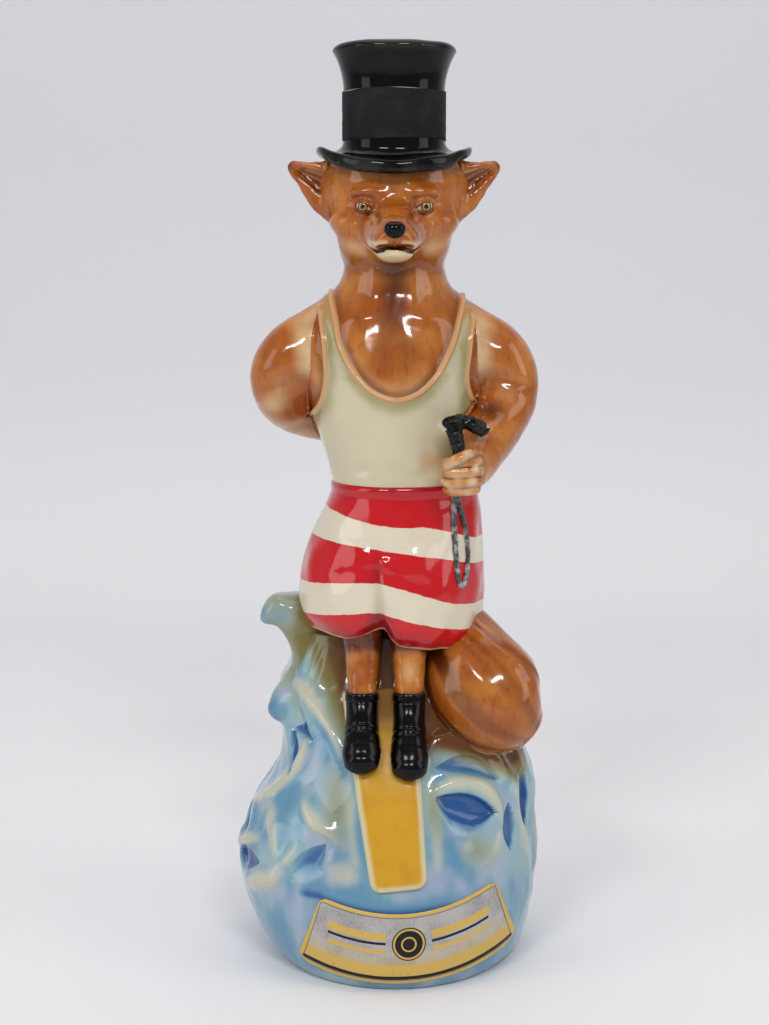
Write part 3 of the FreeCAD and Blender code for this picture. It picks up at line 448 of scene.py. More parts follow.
def outward(grid):
    """Directions square to a grid of rings, pointing out of it."""
    across = np.roll(grid, -1, axis=1) - np.roll(grid, 1, axis=1)
    along = np.gradient(grid, axis=0)
    return unit(np.cross(across, along))


def raised(grid, height):
    """A grid of rings whose points move out of it by a height."""
    return grid + outward(grid) * height[..., None]


def limb_gap(stations, count=36):
    """Distance of points from the skin of a limb, less than zero inside it."""
    line = path_through(stations, count)
    start = line[:-1, :3]
    way = np.diff(line[:, :3], axis=0)
    thick = line[:-1, 3]
    thicker = np.diff(line[:, 3])

    def gap(points):
        rel = points[..., None, :] - start
        share = np.clip((rel * way).sum(-1) / (way * way).sum(-1), 0, 1)
        off = np.linalg.norm(rel - share[..., None] * way, axis=-1)
        return (off - thick - share * thicker).min(-1)

    return gap


def stack_gap(rows):
    """Distance of points, level with them, from the skin of a stack of ovals, less than zero inside it."""

    def gap(points):
        x, y, z = np.moveaxis(points, -1, 0)
        reach = through(rows[:, 0], rows[:, 1:], np.clip(z, rows[0, 0], rows[-1, 0]))
        wide = np.where(x > 0, reach[..., 1], reach[..., 0])
        deep = np.where(y > 0, reach[..., 3], reach[..., 2])
        share = np.maximum(np.hypot(x / wide, y / deep), 0.05)
        return np.hypot(x, y) * (1 - 1 / share)

    return gap


def fillet(grid, gap, reach):
    """Fills the crease against a neighbour: near it, points move out between both skins' directions
    by a quarter of the reach times the square of their nearness."""
    own = outward(grid)
    near = gap(grid)
    step = 0.4
    slope = unit(np.stack([gap(grid + step * axis) - gap(grid - step * axis) for axis in np.eye(3)], -1))
    nearness = np.clip(1 - np.abs(near) / reach, 0, 1)
    share = (0.5 * np.clip(1 - near / reach, 0, 1))[..., None]
    way = unit((1 - share) * own + share * slope)
    lift = reach / 4 * nearness**2 / np.clip((way * own).sum(-1), 0.35, 1)
    return grid + way * (lift * ease(-0.5 * reach, 0, near))[..., None]


def ball_gap(points, centre, radii):
    """Distance of points from the skin of a ball with three radii, about right near the skin."""
    rel = (points - np.array(centre)) / np.array(radii)
    size = np.linalg.norm(rel, axis=-1)
    return size * (size - 1) / np.maximum(np.linalg.norm(rel / np.array(radii), axis=-1), 1e-9)


def melt(first, second, reach):
    """Joins two shapes given by distances, with a soft crease of that reach."""
    share = np.clip(1 - np.abs(first - second) / reach, 0, 1)
    return np.minimum(first, second) - share**2 * reach / 4


def carve(first, second, reach):
    """Takes the second shape out of the first, with soft edges of that reach."""
    return -melt(-first, second, reach)


def near_line(points, line):
    """Distance of flat points from a line of straight runs, the share of the line at the nearest place,
    and the side of the line that each point is on."""
    start = line[:-1]
    way = np.diff(line, axis=0)
    rel = points[..., None, :] - start
    share = np.clip((rel * way).sum(-1) / (way * way).sum(-1), 0, 1)
    off = rel - share[..., None] * way
    gap = np.hypot(off[..., 0], off[..., 1])
    best = gap.argmin(-1)[..., None]
    side = np.sign(way[:, 0] * rel[..., 1] - way[:, 1] * rel[..., 0])
    pick = [np.take_along_axis(a, best, -1)[..., 0] for a in (gap, share, side)]
    return pick[0], (best[..., 0] + pick[1]) / len(way), pick[2]


def smooth_line(points, count=28):
    """A smooth flat line through points."""
    flat = np.asarray(points, float)
    return path_through(np.column_stack([flat, np.zeros(len(flat))]), count)[:, :2]


def spots(points, places):
    """Soft round patches: each place is x, y, z, radius and strength."""
    total = np.zeros(points.shape[:-1])
    for *centre, radius, strength in places:
        total += strength * bell(np.linalg.norm(points - np.array(centre), axis=-1), radius)
    return total


def held(points):
    """Points pressed softly inside the solids' box across and along, within the last millimetre or so."""
    soft = 1.2
    low, high = np.array(CAD_BOX)[:, :2] / MM + ((0.05,), (-0.05,))
    flat = points[:, :2]
    flat = np.where(flat > high - soft, high - soft + soft * np.tanh((flat - high + soft) / soft), flat)
    flat = np.where(flat < low + soft, low + soft + soft * np.tanh((flat - low - soft) / soft), flat)
    return np.column_stack([flat, points[:, 2]])


def mesh_piece(name, points, corners, counts, material, body, nodes, fields):
    """Puts points in millimetres and faces into a mesh, with its named fields, and ties it to the frame."""
    mesh = bpy.data.meshes.new(name)
    mesh.vertices.add(len(points))
    mesh.vertices.foreach_set("co", (held(points) * MM).ravel().astype(np.float32))
    mesh.loops.add(len(corners))
    mesh.loops.foreach_set("vertex_index", corners.astype(np.int32))
    mesh.polygons.add(len(counts))
    mesh.polygons.foreach_set("loop_start", (np.cumsum(counts) - counts).astype(np.int32))
    mesh.polygons.foreach_set("use_smooth", np.ones(len(counts), bool))
    mesh.update(calc_edges=True)
    if mesh.validate():
        raise RuntimeError(name + " has a face that the mesh can't hold")
    for field, values in fields.items():
        layer = mesh.attributes.new(field, "FLOAT", "POINT")
        layer.data.foreach_set("value", values.astype(np.float32))
    piece = bpy.data.objects.new(name, mesh)
    bpy.context.scene.collection.objects.link(piece)
    mesh.materials.append(material)
    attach(piece, body)
    if nodes:
        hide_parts(*nodes)
    return piece


def ring_piece(name, grid, material, nodes=(), body=DECANTER, fields=None, loop=False):
    """A piece from a grid of rings: neighbours are joined by quads, and either the last ring joins the
    first or each end is closed with a pole in the middle of its ring."""
    rows, columns = grid.shape[:2]
    index = np.arange(rows * columns).reshape(rows, columns)
    following = np.roll(index, -1, axis=1)
    if loop:
        upper, upper_following = np.roll(index, -1, axis=0), np.roll(following, -1, axis=0)
        lower, lower_following = index, following
    else:
        upper, upper_following = index[1:], following[1:]
        lower, lower_following = index[:-1], following[:-1]
    quads = np.stack([lower, lower_following, upper_following, upper], -1).reshape(-1)
    counts = np.full(len(quads) // 4, 4)
    points = grid.reshape(-1, 3)
    values = {field: value.reshape(-1) for field, value in (fields or {}).items()}
    if not loop:
        poles = np.stack([grid[0].mean(0), grid[-1].mean(0)])
        points = np.concatenate([points, poles])
        for field, value in values.items():
            values[field] = np.concatenate([value, [value[:columns].mean(), value[-columns:].mean()]])
        low_pole = np.full(columns, rows * columns)
        first = np.stack([following[0], index[0], low_pole], -1)
        last = np.stack([index[-1], following[-1], low_pole + 1], -1)
        quads = np.concatenate([quads, first.reshape(-1), last.reshape(-1)])
        counts = np.concatenate([counts, np.full(2 * columns, 3)])
    return mesh_piece(name, points, quads, counts, material, body, nodes, values)


def slab_piece(name, front, back, material, nodes=(), body=DECANTER, fields=None):
    """A thin piece from a front grid and a back grid of the same size, joined round their border."""
    rows, columns = front.shape[:2]
    index = np.arange(rows * columns).reshape(rows, columns)
    face = np.stack([index[:-1, :-1], index[:-1, 1:], index[1:, 1:], index[1:, :-1]], -1).reshape(-1, 4)
    border = np.concatenate([index[0, :-1], index[:-1, -1], index[-1, :0:-1], index[:0:-1, 0]])
    onward = np.roll(border, -1)
    size = rows * columns
    rim = np.stack([border, border + size, onward + size, onward], -1)
    quads = np.concatenate([face, face[:, ::-1] + size, rim])
    points = np.concatenate([front.reshape(-1, 3), back.reshape(-1, 3)])
    values = {f: np.concatenate([v.reshape(-1), v.reshape(-1)]) for f, v in (fields or {}).items()}
    counts = np.full(len(quads), 4)
    return mesh_piece(name, points, quads.reshape(-1), counts, material, body, nodes, values)


def volume_piece(name, gap, low, high, step, material, nodes, paint, body=DECANTER):
    """A piece from a field of distances: sampled on a lattice, slice by slice, and skinned with quads where
    it is zero. paint gives its fields."""
    axes = [np.arange(start, end, step) for start, end in zip(low, high)]
    slices = []
    for x in np.array_split(axes[0], max(1, len(axes[0]) // 6)):
        slices.append(gap(np.stack(np.meshgrid(x, axes[1], axes[2], indexing="ij"), -1)))
    field = openvdb.FloatGrid(3 * step)
    field.copyFromArray(np.concatenate(slices).astype(np.float32))
    points, quads = field.convertToQuads(isovalue=0.0)
    points = np.array([axis[0] for axis in axes]) + points.astype(float) * step
    counts = np.full(len(quads), 4)
    return mesh_piece(name, points, quads.reshape(-1), counts, material, body, nodes, paint(points))


class Wire:
    """A socket of a shader tree. Sums and products of wires become Math nodes."""

    def __init__(self, tree, socket=None):
        self.tree = tree
        self.socket = socket

    def feed(self, socket, value):
        """Links a wire to a socket, or sets the socket's value."""
        if isinstance(value, Wire):
            self.tree.links.new(value.socket, socket)
        else:
            socket.default_value = value

    def node(self, kind, settings=None, inputs=None, output=0):
        """Adds any node: its settings first, then the values or links of its sockets."""
        node = self.tree.nodes.new(kind)
        for name, value in (settings or {}).items():
            setattr(node, name, value)
        for name, value in (inputs or {}).items():
            self.feed(node.inputs[name], value)
        return Wire(self.tree, node.outputs[output])

    def calc(self, operation, *values):
        """Adds a Math node."""
        return self.node("ShaderNodeMath", {"operation": operation}, dict(enumerate(values)))

    def __add__(self, other):
        return self.calc("ADD", self, other)

    def __sub__(self, other):
        return self.calc("SUBTRACT", self, other)

    def __rsub__(self, other):
        return self.calc("SUBTRACT", other, self)

    def __mul__(self, other):
        return self.calc("MULTIPLY", self, other)

    __radd__ = __add__
    __rmul__ = __mul__

    def unsigned(self):
        """The value without its sign."""
        return self.calc("ABSOLUTE", self)

    def field(self, name):
        """A named field of the piece."""
        return self.node("ShaderNodeAttribute", {"attribute_name": name}, output=2)

    def step(self, low, high):
        """A smooth step from 0 at low to 1 at high."""
        limits = {"Value": self, "From Min": low, "From Max": high}
        return self.node("ShaderNodeMapRange", {"interpolation_type": "SMOOTHSTEP"}, limits)

    def mix(self, first, second, share):
        """Goes from the first colour to the second: wires, or names of the palette."""
        pair = [item if isinstance(item, Wire) else (*tone(item), 1.0) for item in (first, second)]
        return self.node("ShaderNodeMix", {"data_type": "RGBA"}, {0: share, 6: pair[0], 7: pair[1]}, 2)

    def place(self, stretch=(1, 1, 1), turn=(0, 0, 0)):
        """Object coordinates, stretched and turned."""
        spot = self.node("ShaderNodeTexCoord", output=3)
        return self.node("ShaderNodeMapping", inputs={"Vector": spot, "Scale": stretch, "Rotation": turn})

    def noise(self, size, detail=2.0, where=None):
        """Cloudy noise whose patches are about that many metres across."""
        spot = where or self.node("ShaderNodeTexCoord", output=3)
        return self.node("ShaderNodeTexNoise", inputs={"Vector": spot, "Scale": 1 / size, "Detail": detail})


def finish(name, recipe, roughness=0.14, coat=0.45, uneven=0.25, lump=0.007, metallic=0.0, shine=0.3):
    """A glazed surface: the recipe gives its colour, and its roughness where that varies. Two sizes of
    noise make the glaze pool and shimmer."""
    material = bpy.data.materials.new(name)
    material.use_nodes = True
    tree = material.node_tree
    shader = tree.nodes["Principled BSDF"]
    start = Wire(tree)
    painted = recipe(start)
    body, rough = painted if isinstance(painted, tuple) else (painted, None)
    start.feed(shader.inputs["Base Color"], body)
    if rough is None:
        rough = roughness * (0.7 + 0.6 * start.noise(GLAZE_PATCH))
    start.feed(shader.inputs["Roughness"], rough)
    shader.inputs["Coat Weight"].default_value = coat
    shader.inputs["Coat Roughness"].default_value = COAT_ROUGHNESS
    shader.inputs["Metallic"].default_value = metallic
    shader.inputs["Specular IOR Level"].default_value = shine
    relief = start.noise(lump) + 0.12 * start.noise(GLAZE_GRAIN)
    bump = {"Strength": uneven, "Distance": GLAZE_RELIEF, "Height": relief}
    start.feed(shader.inputs["Normal"], start.node("ShaderNodeBump", inputs=bump))
    return material


def tone(name):
    """A colour of the palette as plain numbers."""
    return tuple(getattr(bpy.context.scene.decanter_colours, name))


def size_of(name):
    """A size of the surface detail in millimetres."""
    return getattr(bpy.context.scene.decanter_sizes, name) / MM


def fur_finish(name, stretch=(1, 1, 0.3), turn=(0, 0, 0)):
    """Airbrushed orange brown with strokes along the limb. The piece's fields: shade darkens, pale
    turns to cream."""

    def recipe(w):
        strokes = w.noise(0.0016, 3.0, w.place(stretch, turn))
        cloud = w.noise(0.016, 2.0)
        body = w.mix("fur", "fur_light", (cloud * 2.0 - 0.62).step(0.0, 0.9))
        body = w.mix(body, "fur_dark", (strokes - 0.5).step(0.0, 0.28) * 0.36)
        body = w.mix(body, "fur_dark", (w.field("shade") + 0.35 * (cloud - 0.5)).step(0.05, 1.0))
        return w.mix(body, "bib", (w.field("pale") + 0.5 * (cloud - 0.5)).step(0.15, 0.9))

    return finish(name, recipe, uneven=0.14)


def fur_piece(name, grid, fur, shade, pale):
    """A furred casting, which takes the place of the node that has its name."""
    ring_piece(name, grid, fur, [name], fields={"shade": shade, "pale": pale})


# Flowing forms of the wave, as angle round it in degrees (0 in front, to the right positive) and height.
# Ridges: height, half width above, half width below. Hollows: depth, half width, and how blue they are.
WAVE_RIDGES = [
    (2.4, 2.0, 4.2, [(6, 81), (17, 84.5), (27, 85.5), (40, 83), (51, 77.5), (57, 69)]),
    (2.2, 1.8, 3.2, [(12, 62), (16, 68.5), (24, 71), (31, 71), (40, 67.5), (45, 61), (46, 53)]),
    (0.8, 1.4, 1.8, [(20, 61.5), (26, 57.6), (32, 55.6), (38, 55.6), (43.5, 58)]),
    (1.2, 3.0, 3.0, [(46, 56), (44.5, 50), (39, 44), (31, 40.5), (23, 38.5)]),
    (2.4, 3.6, 3.6, [(60, 73), (58, 62), (61, 52), (68, 36), (74, 16)]),
    (1.9, 3.6, 3.6, [(80, 66), (77, 52), (80, 36), (88, 16)]),
    (2.8, 3.4, 3.4, [(-78, 100), (-64, 100), (-52, 97), (-41, 93), (-31, 86), (-26, 76)]),
    (2.6, 3.6, 3.6, [(-48, 86), (-53, 76), (-64, 65.5), (-74, 59), (-88, 55)]),
    (1.5, 3.2, 3.2, [(-74, 59), (-60, 56), (-54, 52), (-48, 44), (-46, 34)]),
    (2.6, 2.8, 2.8, [(-96, 40), (-76, 42.5), (-66, 45), (-56, 48.5)]),
    (2.4, 3.0, 3.0, [(-70, 28), (-58, 32), (-47, 36), (-41, 43), (-37, 49)]),
    (2.0, 3.6, 1.6, [(-46, 67), (-41, 61), (-33, 56), (-24, 53), (-20.5, 50)]),
    (1.0, 1.8, 2.2, [(-20.5, 50), (-22, 46.5), (-27, 42)]),
    (2.2, 2.0, 4.0, [(98, 84), (112, 91), (130, 92), (146, 84), (154, 70)]),
    (2.2, 2.0, 4.0, [(94, 56), (110, 64), (130, 64), (146, 55), (152, 42)]),
    (2.0, 2.0, 4.0, [(158, 88), (176, 97), (196, 96), (212, 86), (218, 70)]),
    (2.2, 2.0, 4.0, [(156, 46), (172, 57), (194, 58), (210, 48), (216, 34)]),
    (2.0, 2.0, 4.0, [(222, 92), (236, 98), (250, 95), (262, 84)]),
    (2.1, 2.0, 4.0, [(220, 60), (234, 67), (250, 65), (262, 54)]),
    (1.7, 2.0, 4.0, [(106, 28), (124, 37), (144, 36), (162, 24)]),
    (1.7, 2.0, 4.0, [(170, 22), (190, 32), (212, 31), (228, 20)]),
    (1.7, 2.0, 4.0, [(232, 30), (246, 39), (262, 36)]),
]
WAVE_HOLLOWS = [
    (2.0, 3.4, 0.55, [(18, 76), (30, 77), (38, 75.5), (47, 69.5)]),
    (2.6, 5.6, 1.00, [(16.5, 66.5), (26, 63.8), (34, 61.6), (43.5, 58.6)]),
    (1.5, 3.2, 0.60, [(52, 61), (52.5, 53), (53, 44)]),
    (2.4, 4.8, 0.90, [(70, 70), (66, 61), (66.5, 48)]),
    (2.4, 5.2, 0.70, [(-92, 98), (-74, 93), (-60, 90), (-46, 83)]),
    (1.6, 4.4, 0.75, [(-67, 86), (-62, 79), (-58, 69)]),
    (2.4, 4.4, 1.00, [(-98, 52), (-84, 47.5), (-73, 44.5)]),
    (2.4, 4.6, 1.00, [(-86, 35), (-70, 38.8), (-57, 38.6)]),
    (1.3, 5.0, 0.45, [(-40, 36), (-33, 44), (-27, 50)]),
    (2.4, 5.0, 0.95, [(100, 78), (114, 84), (130, 84), (146, 74)]),
    (2.4, 5.0, 0.95, [(98, 48), (112, 56), (130, 55), (144, 46)]),
    (2.2, 4.6, 0.80, [(160, 80), (178, 89), (196, 88), (212, 76)]),
    (2.4, 5.0, 0.95, [(160, 38), (176, 48), (194, 48), (208, 38)]),
    (2.2, 4.4, 0.85, [(226, 86), (240, 91), (256, 86)]),
    (2.4, 4.6, 0.95, [(224, 52), (238, 58), (256, 52)]),
    (1.8, 3.8, 0.90, [(112, 22), (126, 29), (146, 26)]),
    (1.8, 3.8, 0.90, [(178, 16), (194, 23), (212, 22)]),
    (1.8, 3.8, 0.90, [(236, 24), (250, 31), (264, 28)]),
]
DEGREE_WIDTH = math.radians(1) * WAVE_RADIUS
# Lower edge of the olive at the top of the wave: places as above
OLIVE_EDGE = np.array([
    (-100, 114), (-78, 112), (-64, 110), (-52, 105), (-41, 98), (-31, 90), (-24, 83), (-14, 79), (0, 78),
    (8, 78.5), (17, 80.5), (27, 81.5), (40, 79.5), (51, 74.5), (60, 68), (76, 74), (100, 100), (130, 114),
    (260, 114),
])


def forms_near(forms, flat, low, high):
    """For each form whose line reaches into a span of angles: its measures, and the distance, the share
    and the side of its line at every place."""
    for *measures, points in forms:
        angles = [place[0] for place in points]
        if max(angles) >= low and min(angles) <= high:
            yield measures, near_line(flat, smooth_line(np.array(points) * (DEGREE_WIDTH, 1)))


def wave_forms(angle, z):
    """Height of the flowing forms over a place on the wave, how blue it is and how foamy.
    A ridge is a bell across its line that fades at both ends. A hollow is a leaf: its half width goes
    as the sine of the share of its line, and its depth as a smooth step of one less the square of the
    share of that width. Its upper edge is the steeper one, and its blue fades out below it."""
    height = np.zeros(z.shape)
    blue = np.zeros(z.shape)
    foam = np.zeros(z.shape)
    for turns in (-360, 0, 360):
        flat = np.stack([(angle + turns) * DEGREE_WIDTH, z], -1)
        low, high = angle.min() + turns - 12, angle.max() + turns + 12
        for (rise, above, below), (gap, share, side) in forms_near(WAVE_RIDGES, flat, low, high):
            ends = np.clip(np.sin(math.pi * share), 0, 1) ** 0.5
            form = bell(gap, np.where(side > 0, above, below)) * ends
            height += rise * form
            foam = np.maximum(foam, form * rise / 2.2)
        for (depth, half, strength), (gap, share, side) in forms_near(WAVE_HOLLOWS, flat, low, high):
            local = half * np.clip(np.sin(math.pi * share), 0.02, 1) ** 0.8 * np.where(side > 0, 0.8, 1.8)
            reach = np.clip(1 - (gap / local) ** 2, 0, 1)
            height -= depth * ease(0, 1, reach)
            dip = np.where(side > 0, ease(0, 0.4, reach), ease(-0.1, 1.05, reach))
            blue = np.maximum(blue, strength * dip)
    return height, blue, foam


def wave_finish():
    """Airbrushed water: blue, lavender and foam over deep blue hollows, olive and brown towards the top.
    The piece's fields: blue, foam, olive, brown."""

    def recipe(w):
        cloud = w.noise(0.020, 2.5)
        wisps = w.noise(0.010, 2.0, w.place((1, 1, 0.5)))
        second = w.noise(0.033, 1.5, w.place((1, 1, 0.7), (0.4, 0.3, 0)))
        body = w.mix("blue", "pale_blue", (second + 0.6 * (wisps - 0.5)).step(0.36, 0.64))
        body = w.mix(body, "lavender", (cloud + 0.4 * (wisps - 0.5)).step(0.47, 0.70) * 0.7)
        body = w.mix(body, "foam", (w.field("foam") + 0.6 * (wisps - 0.5)).step(0.25, 1.0) * 0.9)
        blue = w.field("blue") + 0.24 * (cloud - 0.5)
        body = w.mix(body, "blue", blue.step(0.10, 0.6))
        body = w.mix(body, "deep_blue", blue.step(0.45, 1.0))
        olive = w.field("olive") + 0.35 * (cloud - 0.5) + 0.25 * (wisps - 0.5)
        body = w.mix(body, "sage", olive.step(0.05, 0.40) * 0.8)
        body = w.mix(body, "olive", olive.step(0.25, 0.80))
        brown = w.field("brown") + 0.45 * (cloud - 0.5) + 0.3 * (wisps - 0.5)
        return w.mix(body, "umber", brown.step(0.10, 0.85) * 0.95)

    return finish("water_glaze", recipe, roughness=0.12, uneven=0.3)


def form_fade(x, y, z):
    """The flowing forms die out at the foot, at the seat, under the board and under the label."""
    ends = ease(0, 10, z) * ease(0, 10, BASE_HEIGHT - z)
    beside_board = np.abs(x - BOARD_BED_X) - BOARD_BED_HALF
    off_label = np.maximum(np.abs(x - LABEL_X) - LABEL_LOW_WIDTH / 2, z - LABEL_HIGH_Z)
    front = ease(0, 10, off_label) * ease(0, 5, beside_board)
    return ends * np.where(y > 0, 1.0, front)


def board_middle(z):
    """Place of the board's middle line across the wave at a height."""
    down = (BOARD_TOP_SHARE - z / BASE_HEIGHT) / (BOARD_TOP_SHARE - BOARD_TIP_SHARE)
    return BOARD_TOP_X + BOARD_DRIFT * down


def label_top(x):
    """Height of the label's upper edge."""
    share = np.clip((x - LABEL_X) / (LABEL_HIGH_WIDTH / 2), -1, 1)
    return LABEL_HIGH_Z - LABEL_BOW * (1 - share**2) + LABEL_TILT / 2 * share


def wave_paint(grid, wall, angle, fade, ripple, forms):
    """Fields of the wave's paint: olive and brown over the olive's edge and, partly as painted shade, under
    the tail, blue in the hollows, at the foot and over the label, foam on the ridges and beside the board."""
    height, blue, foam = forms
    x, y, z = np.moveaxis(grid, -1, 0)
    over = z - through(OLIVE_EDGE[:, 0], OLIVE_EDGE[:, 1], angle)
    in_front = ease(4, -4, y)
    off_board = x - board_middle(z)
    olive = 0.95 * ease(-9, 10, over) + 0.50 * bell(off_board + 19, 5) * bell(z - 64, 15) * in_front
    olive += 0.45 * bell(off_board - 15, 4) * bell(z - 62, 12) * in_front
    olive += 0.34 * bell(angle - 34, 9) * bell(z - 47, 6)
    # Painted shade under the tail: olive and brown close to it, partly the tail's brown spread onto the water
    tail_gap = limb_gap(TAIL)(wall)
    olive += 0.75 * ease(10, 1, tail_gap)
    brown = 1.0 * ease(1, 13, over) * bell(angle + 8, 42) + 0.85 * ease(-3, 4, over) * bell(angle - 34, 26)
    brown += 0.35 * ease(-7, 0, over) * bell(angle - 30, 16) + 0.85 * ease(5, 0.5, tail_gap)
    above = z - label_top(x)
    band = ease(-3, -0.5, above) * np.exp(-np.clip(above, 0, 40) / 3.6)
    band = band * ease(-36, -30, x) * ease(30, 16, x) * in_front
    beside = bell(np.abs(off_board) - 14.5, 3.0) * ease(36, 46, z) * ease(82, 70, z) * in_front
    patch = bell(x + 18, 6.5) * bell(z - 41, 5.5) * in_front
    foam = np.maximum(foam * fade, np.maximum(0.62 * beside, 0.9 * patch))
    valley = fade * (0.25 * ease(0.05, 0.6, -ripple) + 0.30 * ease(0.3, 1.4, -height))
    blue = np.maximum(blue * fade, 0.95 * band) + 0.16 * ease(34, 10, z) + valley * ease(8, -2, over)
    foam = foam + 0.20 * fade * ease(0.05, 0.5, ripple)
    return {"blue": blue, "foam": foam, "olive": olive, "brown": brown}


def base_wall(angle_count, heights):
    """The visible wall of the wave: ovals moved outwards by the flowing forms, and its paint fields."""
    grid = ovals(BASE_ROWS, heights, angle_count)
    angle = (np.degrees(ring_angles(angle_count)) + 90 - FIRST_ANGLE) % 360 + FIRST_ANGLE
    angle = angle[None] + 0 * grid[..., 2]
    x, y, z = np.moveaxis(grid, -1, 0)
    fade = form_fade(x, y, z)
    height, blue, foam = wave_forms(angle, z)
    own = outward(grid)
    own[..., 2] *= 0.5
    lean = np.where(angle < 0, 0.7, -0.7) * ease(90, 40, np.abs(angle))
    run = angle * DEGREE_WIDTH
    along = run * np.cos(lean) + z * np.sin(lean)
    flow = np.stack([0.3 * along, z * np.cos(lean) - run * np.sin(lean)], -1)
    ripple = 0.4 * murmur(grid, 24, 3) + 0.22 * murmur(flow, 12, 7)
    wall = grid + own * (fade * (height + ripple))[..., None]
    near_top = np.clip((z - BASE_HEIGHT + WAVE_SHOULDER) / WAVE_SHOULDER, 0, 1)
    shoulder = WAVE_SHOULDER * (1 - np.sqrt(1 - near_top**2)) * ease(-6, 6, y)
    wall[..., :2] *= (1 - shoulder / np.hypot(x, y))[..., None]
    return wall, wave_paint(grid, wall, angle, fade, ripple, (height, blue, foam))


class DECANTER_OT_wave(bpy.types.Operator):
    """Wave base with its foot ring, and the crest and curl that break at one side of it"""

    bl_idname = "decanter.wave"
    bl_label = "Wave"

    def execute(self, context):
        water = wave_finish()
        columns = 400
        wall, fields = base_wall(columns, np.linspace(0, BASE_HEIGHT, 226))
        ring = wall[:1] * (1, 1, 0)
        across = unit(ring)
        lift = np.array((0, 0, 1.0))
        foot = np.concatenate([ring - across * depth + lift * up for depth, up in FOOT_RING])
        fields = {f: np.concatenate([np.repeat(v[:1], len(foot), 0), v]) for f, v in fields.items()}
        wall[0] += lift * FOOT_ROUND
        shell = np.concatenate([foot, wall])
        ring_piece("wave_base", shell, water, ["wave_base"], fields=fields)

        crest, curl, base = limb_gap(CREST), limb_gap(CURL), stack_gap(BASE_ROWS)

        def gap(points):
            """Crest and curl melted together and into the base, whose own skin lies a little outside."""
            horns = melt(crest(points), curl(points), 5.0)
            joined = melt(horns, base(points) + 0.8 + 0.6 * np.clip(horns, 0, 9), 12.0)
            cupped = ball_gap(points, CUP, CUP_RADII)
            joined = carve(joined, cupped, 2.5) + 0.2 * murmur(points, 12, 5)
            return np.maximum(joined, np.maximum(horns - 8.0, points[..., 2] - 131.0))

        def paint(points):
            x, y, z = np.moveaxis(points, -1, 0)
            cloud = murmur(points, 14, 9)
            # Painted shade: a little blue under the crest's tip, in the hollow below it
            blue = 0.12 * ease(-37, -44, x) * ease(126, 116, z) + 0.12 * cloud
            blue += 0.5 * bell(z - 90, 6) * ease(-36, -40, x)
            foam = 0.25 + 0.30 * ease(124, 130, z) + 0.45 * bell(z - 101, 3.5) + 0.15 * cloud
            front = ease(10, -1, y)
            olive = (0.22 + 0.75 * ease(-46, -27, x)) * ease(86, 104, z) * front + 0.12 * cloud
            brown = 0.8 * ease(-33, -26, x) * ease(96, 106, z) * front
            return {"blue": blue, "foam": foam, "olive": olive, "brown": brown}

        low = np.array((-58.0, -16.0, 70.0))
        high = np.array((-8.0, 34.0, 133.0))
        nodes = ["wave_crest", "wave_curl"]
        volume_piece("wave_crest", gap, low, high, 0.55, water, nodes, paint)
        return {"FINISHED"}


def front_of(rows, x, z):
    """How far in front of the middle a stack of ovals reaches, at a place seen from the front."""
    reach = through(rows[:, 0], rows[:, 1:], z)
    wide = np.where(x > 0, reach[..., 1], reach[..., 0])
    return reach[..., 2] * np.sqrt(np.clip(1 - (x / wide) ** 2, 0, 1))


class DECANTER_OT_board(bpy.types.Operator):
    """Board that lies on the front slope of the wave"""

    bl_idname = "decanter.board"
    bl_label = "Board"

    def execute(self, context):
        along = np.linspace(0, 1, 120)
        across = np.linspace(-1, 1, 61)
        z = (BOARD_TOP_SHARE + along * (BOARD_TIP_SHARE - BOARD_TOP_SHARE)) * BASE_HEIGHT
        x = board_middle(z)
        half = (BOARD_TOP_WIDTH - BOARD_TAPER * along) / 2
        tip = np.clip((1 - along) * BOARD_LENGTH / BOARD_CORNER, 0, 1)
        half = half - BOARD_CORNER * (1 - np.sqrt(1 - (1 - tip) ** 2))
        middle = np.stack([x, -front_of(BASE_ROWS, 0 * z, z), z], -1)
        way = unit(np.gradient(middle, axis=0))
        side = unit(np.cross(np.cross(way, (1.0, 0, 0)), way))
        out = np.cross(side, way)
        out *= -np.sign(out[:, 1:2])
        place = middle[:, None] + side[:, None] * (half[:, None] * across)[..., None]
        rim = np.clip(1 - np.abs(across) ** 7, 0, 1) ** 0.6
        end = np.sqrt(1 - (1 - np.clip((1 - along) * 40, 0, 1)) ** 2)[:, None]
        end = np.clip(end, 0.05, 1) ** 0.6
        lift = (3.2 + 0.25 * (1 - across**2)) * rim * end - 1.2
        front = place + out[:, None] * lift[..., None]
        back = place - out[:, None] * 3.0
        edge = np.minimum((1 - np.abs(across)) * half[:, None], (1 - along)[:, None] * BOARD_LENGTH)
        # Painted shade between the boots: the board's upper end turns towards umber
        top = ease(0.34, 0.06, along)[:, None] + 0 * edge

        def recipe(w):
            cloud = w.noise(0.010, 3.0)
            grain = w.noise(0.0022, 3.0, w.place((1, 0.2, 0.2)))
            deeper = (cloud + 0.3 * (grain - 0.5)).step(0.42, 0.75) * 0.6
            body = w.mix("board", "board_shade", deeper)
            # The top field is painted shade between the boots
            body = w.mix(body, "umber", (w.field("top") + 0.6 * (cloud - 0.5)).step(0.15, 0.9) * 0.8)
            rim = w.field("edge") + 1.1 * (cloud - 0.5)
            return w.mix("board_edge", body, rim.step(0.7, 3.0))

        paint = finish("yellow_glaze", recipe, roughness=0.2, uneven=0.2)
        fields = {"edge": edge[::-1], "top": top[::-1]}
        slab_piece("surfboard", front[::-1], back[::-1], paint, ["surfboard"], fields=fields)
        return {"FINISHED"}


